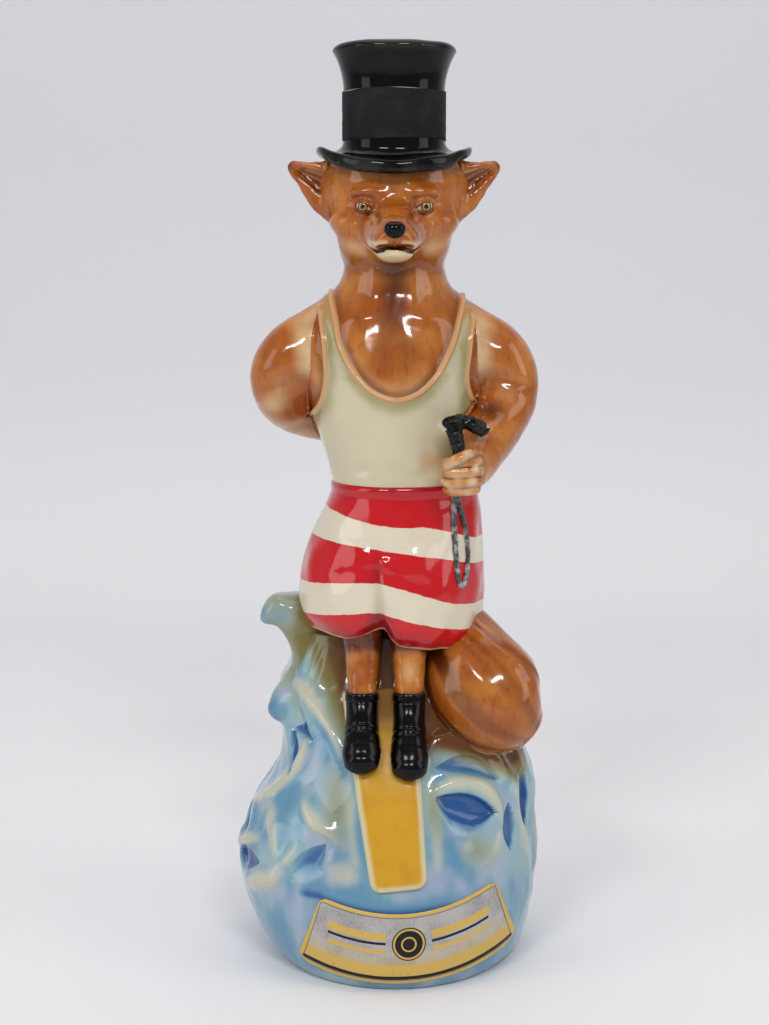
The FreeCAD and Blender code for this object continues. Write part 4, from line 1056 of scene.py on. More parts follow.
class DECANTER_OT_label(bpy.types.Operator):
    """Foil label laid round the front of the foot"""

    bl_idname = "decanter.label"
    bl_label = "Label"

    def execute(self, context):
        s = np.linspace(0, 1, 190)[None]
        t = np.linspace(0, 1, 70)[:, None]
        bow = LABEL_BOW * (1 - (2 * s - 1) ** 2)
        tilt = LABEL_TILT * (s - 0.5)
        width = LABEL_LOW_WIDTH + (LABEL_HIGH_WIDTH - LABEL_LOW_WIDTH) * t
        from_side = np.minimum(s, 1 - s) * width
        into = np.clip(LABEL_CORNER - from_side, 0, 0.975 * LABEL_CORNER)
        corner = LABEL_CORNER - np.sqrt(LABEL_CORNER**2 - into**2)
        low = LABEL_LOW_Z - bow + tilt + corner
        high = LABEL_HIGH_Z - bow + tilt - corner
        z = low + t * (high - low)
        x = LABEL_X + (s - 0.5) * width
        y = -front_of(BASE_ROWS, x, z)
        place = np.stack([x, y, z], -1)
        face = unit(np.stack([x / WAVE_RADIUS**2, y / 50**2, 0 * x], -1))
        border = np.minimum(np.minimum(z - low + corner * 0.4, high - z + corner * 0.4), from_side)
        crease = 0.05 * murmur(place, 5.0, 11)
        front = place + face * (0.2 + size_of("foil") + crease * ease(0, 2, border))[..., None]
        back = place - face * 0.6
        fields = {"across": x - LABEL_X, "up": z - (LABEL_LOW_Z - bow + tilt), "border": border}

        def recipe(w):
            x = w.field("across")
            up = w.field("up")
            edge = w.field("border")
            grain = w.noise(0.0009, 3.0)
            cloud = w.noise(0.011, 2.0)
            dull = (cloud + 0.5 * (grain - 0.5)).step(0.35, 0.7) * 0.7
            body = w.mix("silver", "silver_shade", dull)
            body = w.mix(body, "gold", (1 - up.step(5.0, 13.0)) * 0.6)

            def line(at, half, soft=0.12):
                return 1 - (up - at).unsigned().step(half - soft, half + soft)

            above = up - 14.6
            from_middle = w.calc("SQRT", x * x + above * above)
            disc = 1 - from_middle.step(5.75, 5.95)
            ring = 1 - (from_middle - 5.1).unsigned().step(0.25, 0.4)
            ring = ring + (1 - (from_middle - 2.4).unsigned().step(0.2, 0.35))
            beside = x.unsigned()
            span = beside.step(7.8, 8.0) * (1 - beside.step(27.8, 28.0))
            gold_bars = (line(17.2, 1.3) + line(12.0, 0.7)) * span
            lower = (1 - up.step(6.9, 7.1)) * up.step(3.0, 3.2)
            body = w.mix(body, "gold", gold_bars + lower)
            bars = line(14.8, 0.45) * span + (1 - up.step(2.9, 3.1)) * up.step(1.5, 1.7)
            body = w.mix(body, "ink", bars + disc)
            body = w.mix(body, "gold", ring)
            body = w.mix(body, "ink", (1 - edge.step(1.35, 1.5)) * edge.step(1.1, 1.25) * 0.8)
            body = w.mix("gold", body, edge.step(0.95, 1.15))
            wear = (grain + 0.6 * (cloud - 0.5)).step(0.68, 0.78) * 0.5
            body = w.mix(body, "tarnish", wear)
            rough = 0.28 + 0.3 * cloud + 0.2 * wear
            return body, rough

        foil = finish("label_foil", recipe, coat=0.15, uneven=0.25, lump=0.003, metallic=0.35)
        slab_piece("foil_label", front, back, foil, ["foil_label"], fields=fields)
        return {"FINISHED"}


# Edges of the trunks' bands as seen from the front: x and height
BAND_EDGES = [
    [(-36, 166.5), (-24, 165.2), (-14.6, 162.8), (-4.8, 161.0), (14.9, 159.4), (30, 154.5), (36, 153)],
    [(-36, 155.4), (-29, 154.9), (-17, 154.0), (-4.8, 152.5), (19.6, 148.5), (31, 145.3), (36, 144)],
    [(-36, 138.0), (-30, 139.0), (-18.8, 140.7), (-5.5, 141.1), (7.3, 137.9), (19.6, 133.6), (29.2, 131.3),
     (36, 131)],
    [(-36, 126.4), (-30, 127.6), (-18.9, 129.5), (-6.6, 130.6), (2.1, 128.7), (18.6, 124.3), (26.2, 122.8),
     (36, 122)],
]
# Pulls in the trunks and creases in the vest as seen from the front: x and height of both ends, and depth
TRUNKS_PULLS = (
    (-4, 152, -16, 158, 0.7),
    (-3, 151, 14, 157, 0.6),
    (-6, 146, -20, 143, 0.5),
    (-3, 144, 12, 140, 0.5),
    (8, 160, 20, 165, 0.4),
    (-14, 162, -6, 160, 0.5),
)
VEST_CREASES = (
    (-16, 178, -4, 182, 0.5),
    (6, 177, 16, 181, 0.4),
    (-20, 196, -10, 190, 0.4),
    (14, 196, 24, 200, 0.4),
    (-8, 176, 2, 178, 0.35),
)


class DECANTER_OT_trunks(bpy.types.Operator):
    """Bathing trunks with painted bands, the fold between the legs and a slanting hem"""

    bl_idname = "decanter.trunks"
    bl_label = "Trunks"

    def execute(self, context):
        columns = 320
        t = np.linspace(0, 1, 150)
        grid = ovals(TRUNKS_ROWS, BASE_HEIGHT + t * (WAIST_Z - BASE_HEIGHT), columns)
        x, y = grid[..., 0], grid[..., 1]
        share = t[:, None]
        legs = 1 - bell(x + 6.5, 7.0)
        hem = 121.3 - 0.115 * x - 3.2 * legs * ease(0, 12, -y) - 1.4 * ease(0, 10, y)
        z = hem + share * (WAIST_Z + 1.2 - hem)
        grid = np.stack([x, y, z], -1)
        front = ease(4, 14, -y)
        fold = -2.6 * np.clip(1 - share / 0.6, 0, 1) * bell(x + 6.0 + 0.05 * (z - 140), 4.6) * (y < 0)
        fold -= 1.0 * bell(x + 5.6 + 0.05 * (z - 140), 1.5) * ease(0.70, 0.50, share) * front
        rear = -3.0 * np.clip(1 - share / 0.75, 0, 1) * bell(x, 4.0) * (y > 0)
        swell = bell(x + 19, 9) * bell(z - 137, 12) + bell(x - 10, 12) * bell(z - 134, 12)
        swell = 0.9 * swell * front
        pulls = 0.0
        for x0, z0, x1, z1, depth in TRUNKS_PULLS:
            gap = near_line(np.stack([x, z], -1), np.array([(x0, z0), (x1, z1)], float))[0]
            pulls = pulls - depth * bell(gap, 2.4) * front
        lumps = 0.3 * murmur(grid, 13, 21)
        waist = 1.0 * bell(z - 172.8, 1.8)
        calm = ease(171, 163, z)
        grid = raised(grid, fold + rear + swell + (pulls + lumps) * calm + waist)
        tuck = [grid[0] * (inward, inward, 1) + (0, 0, up) for inward, up in ((0.80, 1.5), (0.955, 0.3))]
        shell = np.concatenate([np.stack(tuck), grid])
        edges = np.stack([through(*np.array(edge).T, np.clip(shell[..., 0], -36, 36)) for edge in BAND_EDGES])
        under = edges - shell[..., 2]
        nearest = np.abs(under).min(0)
        red = np.where((under > 0).sum(0) % 2 == 0, nearest, -nearest)
        # Painted shade: darker at the hem, under the waist and in the folds
        shade = 0.55 * ease(0.14, 0.0, share) + 0.4 * ease(0.82, 1.0, share) - (fold + rear) / 3.6
        shade = np.concatenate([np.ones((len(tuck), columns)), shade])
        hem_line = np.concatenate([np.zeros((len(tuck), columns)), share * 52 + 0 * x])

        def recipe(w):
            cloud = w.noise(0.012, 2.0)
            brush = w.noise(0.004, 2.0, w.place((1, 1, 3)))
            shade = w.field("shade") + 0.7 * (cloud - 0.45)
            red = w.mix("red", "red_shade", shade.step(0.05, 0.9))
            dimmed = (w.field("shade") + 0.5 * (cloud - 0.5)).step(0.15, 1.0)
            pale = w.mix("cream", "cream_shade", dimmed)
            line = w.field("red") + 0.7 * (brush - 0.5)
            body = w.mix(pale, red, line.step(-0.16, 0.16))
            hem = w.field("hem") + 0.8 * (brush - 0.5)
            return w.mix("hem", body, hem.step(0.3, 1.0))

        paint = finish("banded_glaze", recipe, roughness=0.1, uneven=0.3)
        fields = {"red": red, "shade": shade, "hem": hem_line}
        ring_piece("trunks", shell, paint, ["trunks"], fields=fields)
        return {"FINISHED"}


class DECANTER_OT_legs(bpy.types.Operator):
    """Legs between the trunks and the boots"""

    bl_idname = "decanter.legs"
    bl_label = "Legs"

    def execute(self, context):
        fur = fur_finish("leg_glaze")
        for name, x in LEG_SIDES.items():
            leg = sweep([(x, *place) for place in LEG_LINE], 60, 56)
            leg = raised(leg, 0.14 * murmur(leg, 6, 31))
            z = leg[..., 2]
            aside = np.abs(leg[..., 0] - x)
            shade = 0.9 * ease(113, 119, z) + 0.45 * ease(3.0, 6.5, aside) + 0.5 * ease(103.5, 101, z)
            pale = 0.35 * bell(z - 109, 5) * bell(aside, 3)
            fur_piece(name + "_leg", leg, fur, shade, pale)
        return {"FINISHED"}


def black_finish(name, roughness=0.1, chips=0.0):
    """Gloss black with grey where it is thin, grey on the rims as rubbed wear and a painted highlight, and a
    few chips down to the pale body.
    """

    def recipe(w):
        cloud = w.noise(0.009, 3.0)
        specks = w.noise(0.0026, 2.0)
        body = w.mix("black", "black_thin", cloud.step(0.48, 0.8) * 0.7)
        # Grey on the rims and raised bands: rubbed wear and a painted highlight
        edge_wear_and_sheen = w.field("edge").step(0.3, 1.0) * cloud.step(0.35, 0.65) * 0.6
        body = w.mix(body, "black_edge", edge_wear_and_sheen)
        worn = (specks + 0.25 * w.field("edge") * (cloud - 0.2)).step(0.80 - chips, 0.83 - chips)
        return w.mix(body, "worn", worn)

    return finish(name, recipe, roughness=roughness, coat=0.06, uneven=0.16, shine=0.18)


class DECANTER_OT_boots(bpy.types.Operator):
    """Boots with cuffs, ankle folds and rounded toes"""

    bl_idname = "decanter.boots"
    bl_label = "Boots"

    def execute(self, context):
        rows, columns = 130, 72
        leather = black_finish("boot_glaze", 0.16)
        fall, reach, wide, deep = BOOT_SHARES.T
        for name, x in LEG_SIDES.items():
            stations = np.column_stack([
                x + 0 * fall,
                BOOT_Y - BOOT_REACH * reach,
                BOOT_TOP_Z - (BOOT_HEIGHT + BOOT_DROPS[name]) * fall,
                BOOT_HALF * deep,
                BOOT_HALF * wide,
            ])
            boot = sweep(stations, rows, columns)
            share = np.linspace(0, 1, rows)[:, None]
            turn = ring_angles(columns)[None]
            ahead = 0.5 - 0.5 * np.cos(turn)
            cuff = size_of("cuff") * (ease(0.0, 0.02, share) - ease(0.085, 0.105, share))
            groove = -0.12 * bell(share - 0.115, 0.010)
            folds = 0.0
            for at, slant, depth in ((0.47, 0.02, 0.30), (0.54, -0.015, 0.24)):
                folds = folds - depth * bell(share - at - slant * np.sin(turn), 0.022) * (0.2 + 0.8 * ahead)
            cap = 0.14 * ease(0.66, 0.72, share)
            lumps = 0.05 * murmur(boot, 9, 41)
            boot = raised(boot, cuff + groove + folds + cap + lumps)
            middle = boot[0].mean(0)
            lip = [middle + (boot[0] - middle) * inward + (0, 0, up) for inward, up in BOOT_LIP]
            boot = np.concatenate([np.stack(lip), boot])
            # Edge: the cuff's rim and the toe cap's line, greyed as rubbed wear and a painted highlight
            edge = ease(0.03, 0.0, share) + 0.6 * bell(share - 0.72, 0.03) + 0 * turn
            edge = np.concatenate([np.ones((len(lip), columns)), edge])
            ring_piece(name + "_boot", boot, leather, [name + "_boot"], fields={"edge": edge})
        return {"FINISHED"}


class DECANTER_OT_tail(bpy.types.Operator):
    """Brush of a tail lying over the right of the wave"""

    bl_idname = "decanter.tail"
    bl_label = "Tail"

    def execute(self, context):
        rows, columns = 150, 180
        base = stack_gap(BASE_ROWS)
        tail = sweep(TAIL, rows, columns)
        share = np.linspace(0, 1, rows)[:, None]
        turn = ring_angles(columns)[None]
        sway = turn + 0.9 * share + 0.25 * np.sin(5 * share + 2 * turn)
        locks = np.sin(11 * sway) + 0.6 * np.sin(17 * sway + 4 * share) + 0.4 * np.sin(29 * sway - 3 * share)
        depth = size_of("fur_groove") * ease(0.02, 0.25, share) * (0.6 + 0.4 * np.sin(9 * share + turn))
        tail = raised(tail, depth * locks * 0.35 - 0.3 + 0.25 * murmur(tail, 22, 51))
        tail = fillet(tail, base, 5.0)
        x, _, z = np.moveaxis(tail, -1, 0)
        low = base(tail)
        shade = 0.16 + 0.34 * ease(0.3, -1.2, locks) + 0.75 * ease(5.0, 0.5, low) * ease(0.95, 0.5, share)
        shade = shade + 0.5 * ease(24, 14, x) * ease(104, 112, z) + 0.35 * bell(low - 1.5, 2.0)
        pale = 0.85 * ease(82, 75, z) * ease(36, 48, x) + 0.4 * ease(88, 78, z) * ease(8, 2, low)
        fur_piece("tail", tail, fur_finish("tail_glaze", turn=(0, 0.75, 0)), shade, pale)
        return {"FINISHED"}


# Edges of the vest as seen from the front: x and height, from the figure's right to its left
NECKLINE = [
    (-24, 256), (-21.6, 242), (-19.6, 232), (-17.9, 223.5), (-13.1, 214.4), (-6.6, 207.8), (0.3, 205.4),
    (6.6, 206.8), (12.6, 211.6), (18.5, 221.8), (22.3, 234), (24, 244), (26, 256),
]
RIGHT_ARMHOLE = [
    (-30, 256), (-28, 242), (-26.6, 232), (-25.2, 221.5), (-24.8, 210), (-27.0, 202.5), (-33, 197),
    (-44, 195),
]
LEFT_ARMHOLE = [
    (32, 256), (30, 242), (28.6, 232), (27.3, 221), (26.5, 209.5), (28.6, 204.0), (34, 200), (44, 198),
]


def vest_inside(points):
    """How far inside the vest's cloth a place on the torso is, less than zero outside it."""
    x, y, z = np.moveaxis(points, -1, 0)
    flat = np.stack([x, z - 9.0 * ease(2, 12, y)], -1)
    gaps = []
    for line, inner in ((NECKLINE, -1), (RIGHT_ARMHOLE, 1), (LEFT_ARMHOLE, -1)):
        gap, _, side = near_line(flat, smooth_line(line, 60))
        gaps.append(gap * side * inner)
    return np.minimum(np.minimum(gaps[0], gaps[1]), gaps[2])


def torso_skin(rows, columns):
    """The torso and neck: ovals with a chest, filled towards both arms."""
    grid = ovals(TORSO_ROWS, np.linspace(WAIST_Z, NECK_Z, rows), columns)
    x, y, z = np.moveaxis(grid, -1, 0)
    front = ease(2, 12, -y)
    chest = 0.9 * (bell(x - 11, 9) + bell(x + 11, 9)) * bell(z - 214, 8) * front
    chest -= 0.8 * bell(x, 3.2) * bell(z - 217, 12) * front
    collar_bones = 0.6 * (bell(x - 12, 6) + bell(x + 12, 6)) * bell(z - 234 + 0.15 * np.abs(x), 2.4) * front
    throat = 0.7 * bell(np.abs(x) - 6.5, 2.6) * bell(z - 245, 7) * front
    spine = -0.9 * bell(x, 3.0) * ease(4, 14, y) * ease(246, 232, z)
    grid = raised(grid, chest + collar_bones + throat + spine)
    for arm in (LEFT_ARM, RIGHT_ARM):
        grid = fillet(grid, limb_gap(arm), ARM_FILLET)
    return grid


def throat_shade(x, y, z):
    """Darker fur down the throat and round the joint of the neck, for the torso and the head."""
    joint = ease(245, 250, z) * ease(257, 251, z)
    return 0.85 * bell(x, 6) * bell(z - 239, 12) * ease(0, 10, -y) + 0.45 * joint


class DECANTER_OT_torso(bpy.types.Operator):
    """Torso and neck"""

    bl_idname = "decanter.torso"
    bl_label = "Torso"

    def execute(self, context):
        grid = torso_skin(150, 260)
        x, y, z = np.moveaxis(grid, -1, 0)
        inside = vest_inside(grid)
        grid = raised(grid, 0.06 * murmur(grid, 9, 61) - 0.35 * ease(-0.2, 0.6, inside))
        front = ease(0, 10, -y)
        shade = 0.5 * bell(inside + 1.0, 1.6) + throat_shade(x, y, z)
        shade += 0.35 * bell(np.abs(x) - 5, 6) * bell(z - 221, 11) * front
        pale = 0.30 * bell(inside + 3.0, 4.5) * ease(232, 208, z) * front
        fur_piece("torso", grid, fur_finish("torso_glaze"), shade, pale)
        return {"FINISHED"}


class DECANTER_OT_vest(bpy.types.Operator):
    """Bathing vest with raised hems round the neck and the arms"""

    bl_idname = "decanter.vest"
    bl_label = "Vest"

    def execute(self, context):
        grid = torso_skin(176, 440)
        inside = vest_inside(grid)
        x, _, z = np.moveaxis(grid, -1, 0)
        cloth = size_of("cloth") * 2 * (ease(-0.7, 0.7, inside) - 0.5)
        hem = size_of("hem_height") * bell(inside - 0.9, size_of("hem_width"))
        seam = -0.18 * bell(inside - 2.1, 0.45)
        creases = 0.0
        for x0, z0, x1, z1, depth in VEST_CREASES:
            gap, share, _ = near_line(np.stack([x, z], -1), np.array([(x0, z0), (x1, z1)], float))
            creases = creases - depth * bell(gap, 2.0) * np.sin(math.pi * share)
        soft = 0.18 * murmur(grid, 12, 71)
        worn = (creases + soft) * ease(0, 3, inside) * ease(175, 180, z)
        grid = raised(grid, cloth + hem + seam + worn)
        arms = np.minimum(limb_gap(LEFT_ARM)(grid), limb_gap(RIGHT_ARM)(grid))
        shade = 0.9 * ease(11, 1, arms) + 0.8 * bell(inside - 2.2, 4.2)
        shade += 0.5 * ease(216, 236, z) + 0.3 * ease(182, 173, z)
        tan = spots(grid, [(14, -26, 182, 7, 0.7), (27, -10, 192, 8, 0.6), (-26, -8, 196, 6, 0.4)])
        tan += 0.8 * ease(224, 240, z)

        def recipe(w):
            cloud = w.noise(0.014, 2.0)
            shade = (w.field("shade") + 0.7 * (cloud - 0.5)).step(0.15, 1.05) * 0.8
            body = w.mix("vest", "vest_shade", shade)
            tan = (w.field("tan") + 0.4 * (cloud - 0.5)).step(0.15, 0.9) * 0.75
            body = w.mix(body, "fur_light", tan)
            inside = w.field("inside")
            edge = (1 - (inside - 0.9).unsigned().step(0.5, 1.1)) * (0.75 + 0.5 * cloud)
            body = w.mix(body, "hem", edge)
            return w.mix("fur", body, inside.step(-0.5, 0.1))

        paint = finish("vest_glaze", recipe, roughness=0.14, uneven=0.25)
        fields = {"inside": inside, "shade": shade, "tan": tan}
        ring_piece("vest", grid, paint, ["vest"], fields=fields)
        return {"FINISHED"}


# Pale patches of both arms, as places on the figure's left: x, y, z, radius and strength
ARM_LIGHTS = (
    (28, -12, 214, 7, 0.34),
    (40, -12, 206, 6, 0.3),
    (44, -8, 196, 8, 0.28),
    (33, -9, 226, 11, 0.24),
)


class DECANTER_OT_arms(bpy.types.Operator):
    """Arms, the left with its fist closed on the crop, the right folded behind the back"""

    bl_idname = "decanter.arms"
    bl_label = "Arms"

    def execute(self, context):
        fur = fur_finish("arm_glaze")
        gap = stack_gap(TORSO_ROWS)
        for name, stations in (("left_arm", LEFT_ARM), ("right_arm", RIGHT_ARM)):
            arm = sweep(stations, 150, 110)
            sign = np.sign(stations[0, 0])
            x, y, z = np.moveaxis(arm * (sign, 1, 1), -1, 0)
            muscle = 1.0 * bell(x - 38, 9) * bell(z - 219, 7) * bell(y + 6, 12)
            muscle -= 0.9 * bell(z - 211 + 0.35 * (x - 38), 2.6) * ease(2, 10, -y) * ease(30, 40, x)
            muscle += 0.7 * bell(z - 204, 5) * ease(2, 9, -y) * ease(26, 36, x)
            if name == "left_arm":
                muscle -= 1.3 * bell(np.hypot((x - 33) / 1.6, z - 199.5), 2.6) * ease(4, 11, -y)
                muscle += 0.5 * bell(y + 20, 8) * bell(z - 194, 7)
            arm = raised(arm, muscle + 0.06 * murmur(arm, 8, 81))
            arm = fillet(arm, gap, ARM_FILLET)
            x, y, z = np.moveaxis(arm * (sign, 1, 1), -1, 0)
            near = gap(arm)
            glow = 0.34 * bell(near - 3.0, 4.0) * ease(208, 222, z) * ease(0, 8, -y)
            shade = 0.75 * ease(4.5, 0.5, near) * ease(216, 202, z)
            shade += 0.4 * bell(z - 210 + 0.35 * (x - 38), 2.4) * ease(2, 10, -y)
            pale = glow + spots(np.stack([x, y, z], -1), ARM_LIGHTS)
            if name == "left_arm":
                shade = shade + 0.8 * bell(np.hypot((x - 34) / 1.5, z - 200), 4) * ease(4, 11, -y)
                pale = pale + 0.35 * ease(-24, -34, y)
            else:
                pale = pale + 0.40 * ease(206, 194, z) * ease(-6, 2, y) + 0.2 * bell(z - 201, 3.5)
            fur_piece(name, arm, fur, shade, pale)
        self.hands(fur_finish("hand_glaze"))
        return {"FINISHED"}

    def hands(self, fur):
        """The fist, whose fingers are stacked round the crop under the thumb, and the hand on the back.
        A finger's line has places beside the middle of its hand and half thicknesses."""
        fist = []
        for up, thick, reach in ((4.7, 2.05, 0.94), (1.5, 2.15, 1.0), (-1.7, 2.1, 0.97), (-4.7, 1.9, 0.86)):
            line = np.array([
                (5.6, 2.0, up, thick),
                (5.3, -3.6, up + 0.2, thick),
                (1.2, -6.1, up - 0.1, thick),
                (-3.6, -5.2, up - 0.4, thick),
                (-5.4, -1.4, up - 0.5, 0.9 * thick),
            ])
            fist.append(line * (reach, reach, 1, 1) + (*FIST, 0))
        thumb = [(5.0, 0.5, 6.6, 2.5), (2.4, -4.4, 7.0, 2.3), (-1.8, -6.4, 5.6, 2.1), (-4.4, -5.8, 3.9, 1.7)]
        fist.append(np.array(thumb) + (*FIST, 0))
        self.hand("left_fist", fur, np.array(FIST) + (1.6, 1.6, 0.2), (6.4, 6.0, 7.0), fist, -1)
        rest = []
        for up, reach in ((4.9, 12.0), (1.7, 14.6), (-1.6, 14.0), (-4.7, 11.4)):
            line = np.array([
                (-1.0, 0.6, 0.9 * up, 2.4),
                (5.0, 1.1, up, 2.35),
                (0.7 * reach, 1.2, 1.02 * up, 2.3),
                (reach, -0.4, up, 2.0),
            ])
            rest.append(line + (*PALM, 0))
        thumb = [(-3.0, 2.0, 6.0, 2.6), (2.5, 2.2, 8.0, 2.4), (7.0, 1.2, 8.4, 2.0)]
        rest.append(np.array(thumb) + (*PALM, 0))
        self.hand("right_hand", fur, np.array(PALM), (8.6, 4.4, 7.2), rest, 1)

    def hand(self, name, fur, palm, radii, lines, facing):
        """A hand: fingers and a thumb melted onto a ball, with painted shade between them on the side that is
        seen.
        """
        fingers = [limb_gap(line, 9) for line in lines]

        def gap(points):
            shape = ball_gap(points, palm, radii)
            for finger in fingers:
                shape = melt(shape, finger(points), 1.0)
            return shape

        def paint(points):
            first, second = np.sort(np.stack([finger(points) for finger in fingers]), axis=0)[:2]
            ahead = facing * (points[:, 1] - palm[1])
            shade = 0.85 * ease(0.9, 0.1, second - first) * ease(-2, 2, ahead)
            return {"shade": shade, "pale": 0.32 + 0.16 * murmur(points, 5, 83)}

        reach = np.concatenate([*[line[:, :3] for line in lines], [palm - radii, palm + radii]])
        low, high = reach.min(0) - 3.5, reach.max(0) + 3.5
        volume_piece(name, gap, low, high, 0.27, fur, [], paint)


# Crop: hook as places beside the top of the stem and half thicknesses, lash as x, height and half thickness
CROP_HOOK = (
    (-2.6, 0.2, -0.9, 0.7),
    (-2.3, 0.1, -0.3, 2.0),
    (0.0, 0.0, 0.8, 2.8),
    (3.5, 0.0, 1.2, 2.5),
    (7.0, 0.0, 0.2, 2.6),
    (9.6, 0.0, -1.2, 2.5),
    (11.0, 0.0, -2.4, 1.7),
    (11.5, 0.0, -3.0, 0.5),
)
CROP_LASH = np.array([
    (21.2, 174.0, 1.10), (21.0, 169.0, 1.15), (21.0, 163.0, 1.10), (21.3, 155.0, 1.05), (21.9, 147.0, 1.00),
    (22.6, 141.5, 0.95), (23.6, 138.8, 0.95), (24.7, 139.6, 0.95), (25.7, 144.0, 0.95), (26.0, 150.5, 0.95),
    (25.3, 157.0, 0.95), (23.9, 163.5, 0.95), (22.6, 168.5, 0.90), (21.8, 172.0, 0.70),
])


class DECANTER_OT_crop(bpy.types.Operator):
    """Riding crop: its stem and hooked head above the fist, and the loop of its lash on the trunks"""

    bl_idname = "decanter.crop"
    bl_label = "Riding crop"

    def execute(self, context):
        black = black_finish("crop_glaze", 0.2, 0.05)
        foot = np.array(FIST)
        top = foot + (-2.5, 2.5, 16.5)
        stem = [(*(foot + (0, 0, 2)), 2.1), (*(foot + (-1.2, 1.2, 10)), 2.3), (*(top + (0, 0, -1)), 2.9)]
        hook = [(*(top + place[:3]), place[3]) for place in CROP_HOOK]
        for name, grid, bands, nodes in (
            ("crop_handle", sweep(hook, 80, 44), (0.30, 0.70, 0.82), ["crop_handle"]),
            ("crop_stem", sweep(stem, 40, 40), (0.55, 0.75), []),
        ):
            share = np.linspace(0, 1, len(grid))[:, None]
            rings = sum(0.3 * bell(share - at, 0.03) for at in bands)
            grid = raised(grid, rings + 0.15 * murmur(grid, 2.2, 91))
            # Edge: a little everywhere and more on the raised bands, greyed as rubbed wear and a painted
            # highlight
            edge = 0.4 + 0.6 * sum(bell(share - at, 0.06) for at in bands) + 0 * grid[..., 2]
            ring_piece(name, grid, black, nodes, fields={"edge": edge})

        rows, columns = 180, 28
        x, z, half = CROP_LASH.T
        depth = front_of(TRUNKS_ROWS, x, np.clip(z, BASE_HEIGHT, WAIST_Z)) + 0.5 + 2.5 * ease(168, 177, z)
        loop = sweep(np.column_stack([x, -depth, z, half]), rows, columns)
        twist = np.sin(np.linspace(0, 90, rows)[:, None] + ring_angles(columns))
        loop = raised(loop, 0.09 * twist)

        def recipe(w):
            cloud = w.noise(0.003, 3.0)
            body = w.mix("lash", "lash_light", cloud.step(0.42, 0.66))
            return w.mix(body, "lash_dark", w.noise(0.0012, 2.0).step(0.52, 0.66) * 0.8)

        grey = finish("lash_glaze", recipe, roughness=0.16)
        ring_piece("crop_lash", loop, grey, ["crop_lash"])
        return {"FINISHED"}


EYE = np.array((9.9, -17.9, 270.6))
EYE_RADIUS = 3.3
EYE_OUT = np.array((0.34, -0.94, 0.0)) / math.hypot(0.34, 0.94)
EYE_SIDE = np.array((0.90, 0.325, 0.26)) / math.hypot(0.90, 0.325, 0.26)
EYE_RISE = np.cross(EYE_SIDE, EYE_OUT)
NOSE_Y = -43.6
NOSE_Z = 262.4
NOSE_RADII = (3.6, 3.0, 2.8)
MOUTH = [(-48, 257.6), (-43, 257.2), (-38, 255.9), (-32, 255.4), (-27, 256.2), (-23.5, 258.0)]
# The skull runs a little into the shoulders below it and into the brim above it
SKULL_ROWS = np.array([
    (238.0, 20.00, 20.00, 17.60, 17.60),
    (242.5, 19.30, 19.30, 17.60, 17.40),
    (246.0, 18.55, 18.55, 17.75, 17.05),
    (250.0, 17.95, 17.95, 18.10, 17.20),
    (255.1, 18.80, 18.80, 19.60, 19.09),
    (263.6, 21.00, 21.00, 20.60, 21.85),
    (272.1, 23.00, 23.00, 20.80, 23.00),
    (278.9, 23.90, 23.90, 20.90, 23.00),
    (284.0, 23.00, 23.00, 20.60, 22.31),
    (292.0, 21.40, 21.40, 18.80, 21.00),
])
# Balls melted onto the skull: centre on the figure's left, radii and how softly they join
FACE_BALLS = (
    ((0.0, -18.0, 262.6), (12.2, 17.5, 9.4), 6.0),
    ((0.0, -31.5, 260.8), (7.7, 13.0, 6.0), 6.0),
    ((15.0, -10.5, 265.6), (7.4, 8.0, 4.8), 5.0),
    ((12.4, -9.0, 257.2), (6.0, 8.0, 5.4), 5.0),
    ((8.6, -18.4, 275.4), (6.8, 3.4, 2.2), 3.5),
    ((0.0, -29.0, 254.6), (6.0, 11.0, 3.0), 2.5),
    ((3.6, -38.2, 258.9), (3.7, 4.6, 3.2), 2.0),
    ((0.0, -33.0, 265.0), (3.2, 11.0, 2.4), 4.0),
    ((21.6, 0.4, 277.0), (4.4, 5.2, 8.4), 4.0),
)


def past_lids(across, rise):
    """How far a place beside an eye is outside the opening between its lids, which are two parabolas."""
    return np.abs(rise) - np.where(rise > 0, 1.25, 1.1) * (1 - (across / 3.0) ** 2)


